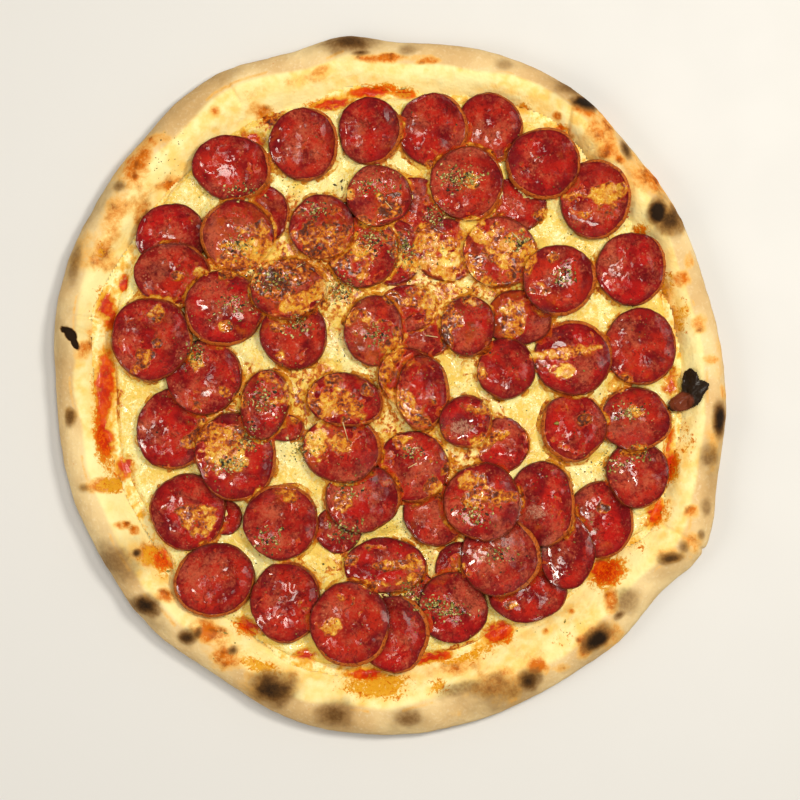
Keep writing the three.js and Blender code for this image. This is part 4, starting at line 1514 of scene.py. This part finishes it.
class Surface:
    """A smooth surface through scattered heights."""

    def __init__(self, points, values, middle, size):
        self.middle, self.size = middle, size
        self.points, self.values = points, values
        flat = (points - middle) / size
        self.terms = np.linalg.lstsq(powers(*flat.T), values, rcond=None)[0]
        self.rest = values - powers(*flat.T) @ self.terms

    def at(self, points):
        flat = (points - self.middle) / self.size
        gap = ((points[:, None, :] - self.points[None, :, :]) ** 2).sum(axis=2)
        weight = np.exp(-gap / (2 * 2.2**2)) + 1e-9
        return powers(*flat.T) @ self.terms + (weight @ self.rest) / weight.sum(axis=1)


def waver(rng, waves):
    """A random closed wave round a slice, from the height of each number of waves in a turn."""
    return sum(height * np.sin(count * ANGLES + rng.uniform(0, math.tau)) for count, height in waves.items())


def curled_rim(middle, curl, rng):
    """How far a slice's rim curls up all round."""
    lean = 0.3 * np.cos(ANGLES + math.radians(35))
    curled = curl + lean + waver(rng, {1: 0.15, 2: 0.15, 4: 0.12, 7: 0.08})
    x, y = pixels_of(np.array([[*middle, 0.0]]))[0]
    for rim_x, rim_y, facing, strength in CURLED_RIMS:
        if math.hypot(x - rim_x, y - rim_y) < RIM_NEARNESS_PX:
            side = smooth_step(np.cos(ANGLES - math.radians(facing)), 0.05, 0.75)
            curled = np.maximum(curled, strength * side)
    return np.clip(curled, 0.03, 1.2)


def slice_rings(radius, curled, cup):
    """Rings from a slice's middle to its rim, down the casing's wall and back under.

    Each has its distance from the middle, its lift, its share of the way down the wall and its gap to the
    wall. The rim curls up as the casing shrinks, so the wall leans out and shows from above.
    """
    band = 0.3 + 1.45 * curled**1.2
    rim_top = 0.65 * cup + SLICE_CURL * curled
    rim_under = 0.3 * cup + SLICE_CURL * curled
    rings = []
    for share in TOP_RINGS:
        lift = cup * (share**2 - 0.35) + SLICE_CURL * curled * smooth_step(share, 0.55, 1.0) ** 2
        rings.append(((radius - band) * share, lift, 0.0, (radius - band) * (1 - share)))
    for down in WALL_RINGS:
        away = radius - band * (1 - down) + WALL_BULGE * math.sin(math.pi * down)
        rings.append((away, rim_top + (rim_under - rim_top) * down, down, -band * down))
    for share in UNDER_RINGS:
        rings.append(((radius - 0.2) * share, rim_under * smooth_step(share, 0.55, 1.0) ** 2, 1.0, -band))
    return rings


def slice_mesh(middle, reach, underside, above, seed, curl):
    """The corners and faces of one slice on a given underside, below what lies above it, and its masks."""
    rng = np.random.default_rng(seed)
    radius = reach * (1 + waver(rng, {3: 0.010, 5: 0.008, 9: 0.005, 17: 0.004, 23: 0.003}))
    curled = curled_rim(middle, curl, rng)
    cup = SLICE_CUP * rng.uniform(0.5, 1.3)
    rings = slice_rings(radius, curled, cup)
    parts = [(middle[None], [-0.35 * cup], [0.0], [reach.mean()])]
    for away, lift, wall, gap in rings:
        parts.append((middle + WAYS * away[:, None], lift, np.full(SLICE_SIDES, wall), gap))
    parts.append((middle[None], [0.0], [1.0], [0.0]))
    flat, lift, wall, gap = (np.concatenate(column) for column in zip(*parts))
    base = underside.at(flat)
    on_top = wall == 0
    places = np.concatenate([flat, np.zeros((len(flat), 1))], axis=1)
    rough = 0.75 * fractal(places, 9, seed + 50) + 0.4 * fractal(places, 3.4, seed + 60)
    rise = lift + (1 - wall) * SLICE_THICKNESS + np.where(on_top, rough * smooth_step(gap, 0.0, 1.5), 0.0)
    room = heights(above, places, from_below=True) - 0.12 - base
    room = np.where(wall < 1, np.maximum(room, 0.3), np.maximum(room - 1.2, 0.0))
    rise = np.where(np.isnan(room), rise, np.minimum(rise, room))
    solid = np.concatenate([flat, (base + rise)[:, None]], axis=1)
    masks = {
        "rind": np.where(on_top, gap, 0.0),
        "stand": np.concatenate([[0.0], np.tile(curled, len(rings)), [0.0]]),
        "crevice_shade": painted_crevice_shade(above, places),
        "haze": spots(solid, HAZY + HERB_FILMS, seed=17, soft=0.7, ragged=0.6),
        "tone": np.full(len(solid), rng.uniform(0, 1)),
        "toast": toasting(solid),
        "film": melting(solid)[0],
        "wet": spots(solid, WET + PALE_FAT_AND_GLARE, seed=16, soft=0.6, ragged=0.6),
        "pale": spots(solid, PALE_FAT_AND_GLARE, seed=19, soft=0.7, ragged=0.8),
    }
    return solid, round_faces(SLICE_SIDES, len(rings)), masks


def painted_crevice_shade(above, places):
    """How much of the ground close round each place lies under the slices above, which sets the painted shade
    there.
    """
    covered = np.zeros(len(places))
    for number in range(PAINTED_SHADE_PROBES):
        angle = math.tau * number / PAINTED_SHADE_PROBES
        step = PAINTED_SHADE_REACH * np.array([math.cos(angle), math.sin(angle), 0.0])
        covered += ~np.isnan(heights(above, places + step, from_below=True))
    return covered / PAINTED_SHADE_PROBES


def round_faces(count, rings):
    """Faces of a closed shape: a middle corner, that many rings of count corners, and a last middle one."""
    faces = [(0, 1 + side, 1 + (side + 1) % count) for side in range(count)]
    for ring in range(rings - 1):
        start = 1 + ring * count
        for side in range(count):
            following = (side + 1) % count
            faces.append((start + side, start + count + side, start + count + following, start + following))
    last = 1 + (rings - 1) * count
    faces.extend((last + count, last + (side + 1) % count, last + side) for side in range(count))
    return faces


def toasting(points):
    """How browned the sausage is: most round the upper left of the middle."""
    centre = smooth_step(oval_distance(pixels_of(points), *HOTTEST), 1.2, 0.3)
    return 0.1 + 0.16 * centre + 0.3 * noise(points, 14, 71)


def samples_round(size):
    """A square grid of flat places round the origin."""
    samples = np.arange(-size, size, SAMPLE_STEP)
    x, y = np.meshgrid(samples, samples)
    return np.stack([x.ravel(), y.ravel()], axis=1)


def solid_slice(name, above, seed):
    """One laid slice, smooth on the solid's outline and underside."""
    corners, faces = node_mesh(name)
    outline = hull(corners[:, :2])
    middle = (outline.min(axis=0) + outline.max(axis=0)) / 2
    reach = reach_of(outline, middle)
    size = reach.mean()
    places = samples_round(size) + middle
    low = heights(tree_of((corners, faces)), places, from_below=True)
    hit = ~np.isnan(low)
    underside = Surface(places[hit], low[hit], middle, size)
    curl = np.random.default_rng(seed + CURL_SEED).uniform(0.1, 0.5)
    return slice_mesh(middle, reach, underside, above, seed, curl)


def sunk_slice(row, sheet_tree, above, seed):
    """A slice that lies in the cheese under its neighbours."""
    x, y, half_width, half_height = row
    middle = np.array(place_of(x, y))
    wide, high = half_width * MM_PER_PX, half_height * MM_PER_PX
    reach = wide * high / np.hypot(high * np.cos(ANGLES), wide * np.sin(ANGLES))
    size = reach.mean()
    places = samples_round(size)
    places = places[np.hypot(*places.T) < size * 1.05] + middle
    top = heights(sheet_tree, places) + 1.0
    limit = heights(above, places, from_below=True) - 0.5
    top = np.where(np.isnan(limit), top, np.minimum(top, limit))
    fits = ~np.isnan(top)
    underside = Surface(places[fits], top[fits] - SLICE_THICKNESS, middle, size)
    return slice_mesh(middle, reach, underside, above, seed, 0.1)


def make_slices(material, sheet, slices_tree):
    """Every slice of sausage, from the topmost down, so that none rises through those above it."""
    made, later = [], []
    for number in range(len(SLICE_NAMES), 0, -1):
        name = SLICE_NAMES[number - 1]
        points, faces, masks = solid_slice(name, tree_of(*later), number)
        make_piece(f"slice_{number:02d}", points, faces, material, [name], masks)
        made.append((points, faces))
        later.append(node_mesh(name))
    sheet_tree = tree_of(sheet)
    for number, row in enumerate(SUNK_SLICES, 1):
        points, faces, masks = sunk_slice(row, sheet_tree, slices_tree, SUNK_SEED + number)
        make_piece(f"sunk_slice_{number:02d}", points, faces, material, (), masks)
        made.append((points, faces))
    return made


# ---------------------------------------------------------------- melted cheese on the slices


def make_melted(grid, pile_tree, sheet_tree, material):
    """Browned cheese: islands and laces that hang over the slices' edges, and seams between the slices."""
    amount, brown = melting(grid.points)
    veins = 1 - 2.4 * abs(fractal(grid.points, 5, 87, 2))
    lace = 0.55 * fractal(grid.points, 7, 82, 4) + 0.3 * fractal(grid.points, 2.6, 83) + 0.22 * veins
    thickness = 1.9 * (amount - 0.36) + 1.7 * lace * smooth_step(amount, 0.0, 0.5)
    seams = smooth_step(oval_distance(pixels_of(grid.points), *PIE), 1.05, 0.9)
    seams = seams * smooth_step(fractal(grid.points, 14, 89), -0.3, 0.4)
    near = (thickness > -0.25) & (amount > 0.02) | (seams > 0.1)
    top = np.full(len(grid.points), np.nan)
    top[near] = heights(pile_tree, grid.points[near])
    in_gap = np.zeros(len(grid.points))
    in_gap[near] = top[near] - heights(sheet_tree, grid.points[near]) < 0.6
    in_gap = grid.blur(in_gap, 0.8)
    met = ~np.isnan(top)
    filled = np.where(met, top, 0.0)
    draped = grid.blur(filled, 1.5) / np.maximum(grid.blur(met.astype(float), 1.5), TINY)
    base = np.maximum(draped, filled)
    seams = seams * smooth_step(base - filled, 0.1, 0.7) - 0.45 + 0.9 * lace
    brown = np.where(seams > thickness, 0.42, brown) - 0.35 * in_gap
    thickness = np.maximum(thickness, seams) - 0.65 * in_gap
    near &= grid.blur((thickness > -0.2).astype(float), grid.step) > 0.01
    thin = np.clip(thickness, -0.5, 1.2)
    bubbles = 0.2 * noise(grid.points, 2.4, 85) + 0.1 * noise(grid.points, 1.3, 88)
    relief = 0.12 + 0.55 * thin + bubbles * smooth_step(thin, 0, 0.6)
    height = base + np.where(thin > 0, relief, thin)
    points, faces, used = grid.sheet(height, near & met)
    thin, in_gap = thin[used], in_gap[used]
    edge = smooth_step(thin, 0.5, 0.0)
    tone = brown[used] + 0.06 + 0.5 * fractal(points, 8, 86)
    masks = {
        "browned": tone + 0.22 * edge - 0.08 * smooth_step(thin, 0.3, 1.0),
        "sauce": 0.3 * edge,
        "oil": 1 - 0.5 * in_gap,
        "veil": smooth_step(thin, 0.4, -0.05) * (1 - 0.8 * in_gap),
    }
    make_piece("melted_cheese", points, faces, material, (), masks)
    return points, faces


# ---------------------------------------------------------------- herbs, stalks and crumbs


def flake(rng, length, width, thick):
    """A small bent flake: a ragged ring of corners, with one over its middle and one under it."""
    bend = rng.uniform(-0.3, 0.5) * length
    x = np.array([-0.5, 0.0, 0.5, -0.35, 0.05, 0.4, 0.0, 0.0]) * length * rng.uniform(0.85, 1.15, 8)
    y = np.array([0.0, 0.5, 0.1, -0.1, -0.5, -0.15, 0.05, -0.05]) * width * rng.uniform(0.7, 1.3, 8)
    z = np.array([0.0, 0.1, 0.0, 0.0, 0.1, 0.0, 1.0, -0.3]) * thick + bend * (x / length) ** 2
    ring = [0, 4, 5, 2, 1]
    pairs = list(zip(ring, ring[1:] + ring[:1]))
    return np.stack([x, y, z], axis=1), [(6, a, b) for a, b in pairs] + [(7, b, a) for a, b in pairs]


def turned(corners, spin, normal):
    """Corners spun about their upright axis, then stood on a surface with that normal."""
    turn = Vector(normal).to_track_quat("Z", "Y").to_matrix()
    c, s = math.cos(spin), math.sin(spin)
    spun = corners @ np.array([[c, s, 0], [-s, c, 0], [0, 0, 1]])
    return spun @ np.array(turn).T


def stalk(start, end):
    """A thin stalk between two points, raised a little in its middle."""
    along = (end - start) / np.linalg.norm(end - start)
    side = np.cross(along, (0, 0, 1))
    side /= np.linalg.norm(side)
    up = np.cross(side, along)
    corners, faces = [], [tuple(range(STALK_SIDES))[::-1], tuple(range(2 * STALK_SIDES, 3 * STALK_SIDES))]
    for row, place in enumerate((start, (start + end) / 2 + 0.2 * up, end)):
        for number in range(STALK_SIDES):
            angle = math.tau * number / STALK_SIDES
            corners.append(place + STALK_RADIUS * (math.cos(angle) * side + math.sin(angle) * up))
            if row < 2:
                here, following = row * STALK_SIDES + number, row * STALK_SIDES + (number + 1) % STALK_SIDES
                faces.append((here, following, following + STALK_SIDES, here + STALK_SIDES))
    return np.array(corners), faces


def make_herbs(pile_tree, material):
    """Dried herbs: clusters and a thin scatter of flakes, leaves, stalks and dark specks."""
    rng = np.random.default_rng(HERB_SEED)
    points, faces, dark, straw = [], [], [], []

    def add(corners, polygons, darkness, is_straw):
        start = sum(len(part) for part in points)
        points.append(corners)
        faces.extend(tuple(start + corner for corner in face) for face in polygons)
        dark.extend([darkness] * len(corners))
        straw.extend([is_straw] * len(corners))

    def drop(x, y, length, width, thick, darkness, spin=None):
        hit, normal, *_ = pile_tree.ray_cast((x, y, FROM_ABOVE), DOWN)
        if hit is None or hit[2] < 5:
            return
        corners, polygons = flake(rng, length, width, thick)
        tilt = Vector(normal) + Vector(rng.uniform(-0.35, 0.35, 3))
        spin = rng.uniform(0, math.tau) if spin is None else spin
        place = np.array(hit) + (0, 0, 0.25 * thick)
        add(turned(corners, spin, tilt) + place, polygons, darkness, 0.0)

    def near(x, y, half_width, half_height, spread):
        away = rng.standard_normal(2) * spread
        return place_of(x + away[0] * half_width, y + away[1] * half_height)

    for *oval, count in HERB_CLUSTERS:
        for _ in range(count * FLAKES_PER_COUNT):
            place = near(*oval, 0.55)
            length = 0.6 + 2.0 * rng.random() ** 2.2
            drop(*place, length, length * rng.uniform(0.3, 0.75), 0.3, rng.random() ** 0.9)
    for *oval, count in CRUMBS:
        for _ in range(count):
            place = near(*oval, 0.6)
            length = rng.uniform(0.4, 1.2)
            drop(*place, length, length * rng.uniform(0.4, 0.8), 0.25, rng.uniform(0.3, 1))
    scattered = 0
    while scattered < SCATTERED_FLAKES:
        x, y = rng.uniform(5 - SCATTER_REACH, SCATTER_REACH - 5, 2)
        if math.hypot(x, y) > SCATTER_REACH - 20 * rng.random():
            continue
        length = rng.choice([0.35, 0.55, 0.9, 1.4], p=[0.45, 0.3, 0.17, 0.08]) * rng.uniform(0.8, 1.2)
        drop(x, y, length, length * rng.uniform(0.35, 0.8), 0.25, rng.uniform(0.4, 1))
        scattered += 1
    for x, y, length, turn, darkness in LEAVES:
        drop(*place_of(x, y), length, length * 0.42, 0.4, darkness, math.radians(turn))
    for ax, ay, bx, by in STRAWS:
        hits = [pile_tree.ray_cast((*place_of(x, y), FROM_ABOVE), DOWN)[0] for x, y in ((ax, ay), (bx, by))]
        add(*stalk(*(np.array(hit) + (0, 0, 0.35) for hit in hits)), 0.0, 1.0)
    masks = {"dark": dark, "straw": straw}
    make_piece("herbs", np.concatenate(points), faces, material, (), masks)


# ---------------------------------------------------------------- burnt cheese


def make_crisp(material):
    """The burnt crisp: black lobes to the upper right, brown ones to the lower left."""
    corners, faces = node_mesh("burnt_crisp")
    tree = tree_of((corners, faces))
    grid = Grid(CRISP_STEP, corners)
    rows, columns = grid.shape
    top = heights(tree, grid.points)
    under = heights(tree, grid.points, from_below=True)
    inside = ~np.isnan(top)
    thick = np.pad(np.where(inside, top - under, 0.0).reshape(grid.shape), 1)
    thick = sum(thick[r : r + rows, c : c + columns] for r in range(3) for c in range(3)).ravel() / 9
    middle = np.where(inside, (top + under) / 2, 0)
    lumps = 1.1 * fractal(grid.points, 4.5, 91) + 0.6 * fractal(grid.points, 1.8, 92)
    upper = grid.quads(inside)
    lower = upper[:, ::-1] + len(grid.points)
    used, joined = np.unique(np.concatenate([upper, lower]), return_inverse=True)
    points = np.concatenate([grid.points, grid.points])
    points[:, 2] = np.concatenate([middle + 0.5 * thick * (1 + 0.35 * lumps), middle - 0.5 * thick])
    points = points[used]
    faces = joined.reshape(-1, 4).tolist()
    masks = {"toast": smooth_step(oval_distance(pixels_of(points), *CRISP_BROWN), 1.3, 0.4)}
    make_piece("burnt_cheese_crisp", points, faces, material, ["burnt_crisp"], masks)


# ---------------------------------------------------------------- light, floor and camera


def add_light(name, place, size, power, colour):
    """A round lamp that faces the middle of the pizza and isn't seen itself."""
    light = bpy.data.lights.new(name, "AREA")
    light.shape = "DISK"
    light.size = size
    light.energy = power
    light.color = colour
    lamp = put(name, light)
    lamp.location = place
    lamp.rotation_euler = (-Vector(place)).to_track_quat("-Z", "Y").to_euler()
    lamp.visible_camera = False


def soft_sky():
    """Even light that is brighter near the horizon than overhead."""
    world = bpy.data.worlds.new("soft_sky")
    world.use_nodes = True
    nodes, links = world.node_tree.nodes, world.node_tree.links
    apart = nodes.new("ShaderNodeSeparateXYZ")
    links.new(nodes.new("ShaderNodeTexCoord").outputs["Generated"], apart.inputs["Vector"])
    power = nodes.new("ShaderNodeMapRange")
    power.interpolation_type = "SMOOTHSTEP"
    links.new(apart.outputs["Z"], power.inputs["Value"])
    for name, value in SKY_RANGE.items():
        power.inputs[name].default_value = value
    background = nodes["Background"]
    background.inputs["Color"].default_value = SKY_COLOUR
    links.new(power.outputs["Result"], background.inputs["Strength"])
    return world


def make_stage():
    """A pale floor, soft light from the sky, and lamps of which those to the right are the brightest."""
    floor = bpy.data.meshes.new("floor")
    half = FLOOR_HALF_WIDTH
    corners = [(-half, -half, 0), (half, -half, 0), (half, half, 0), (-half, half, 0)]
    floor.from_pydata(corners, [], [(0, 1, 2, 3)])
    floor.materials.append(floor_material())
    ground = put("floor", floor)
    ground.location.z = -FLOOR_DROP
    for light in LIGHTS:
        add_light(*light)
    bpy.context.scene.world = soft_sky()
    bpy.context.scene.view_settings.view_transform = "Standard"


def make_camera():
    """The camera looks straight down, and the picture's middle is the photograph's."""
    camera = bpy.data.cameras.new("camera")
    camera.sensor_width = SENSOR_WIDTH
    camera.lens = SENSOR_WIDTH * CAMERA_HEIGHT / PICTURE_WIDTH
    eye = put("camera", camera)
    x, y = place_of(*PICTURE_MIDDLE_PX)
    eye.location = (x * MM, y * MM, TOPPING_HEIGHT + CAMERA_HEIGHT)
    bpy.context.scene.camera = eye


# ---------------------------------------------------------------- the scene


def build():
    """Everything from the ground up: each piece needs those that it lies on."""
    make_camera()
    make_stage()
    cheese = cheese_material("cheese")
    melted = cheese_material("browned_cheese")
    burnt = char_material()
    crust = make_crust(dough_material())
    slices_tree = tree_of(*(node_mesh(name) for name in SLICE_NAMES))
    sheet_grid = Grid(SHEET_STEP, crust_corners)
    sheet = make_sheets(sheet_grid, tree_of(crust), slices_tree, cheese, sauce_material())
    slices = make_slices(sausage_material(), sheet, slices_tree)
    melt_grid = Grid(MELT_STEP, crust_corners)
    melt = make_melted(melt_grid, tree_of(crust, sheet, *slices), tree_of(sheet), melted)
    make_crisp(burnt)
    make_herbs(tree_of(crust, sheet, *slices, melt), herb_material())


build()
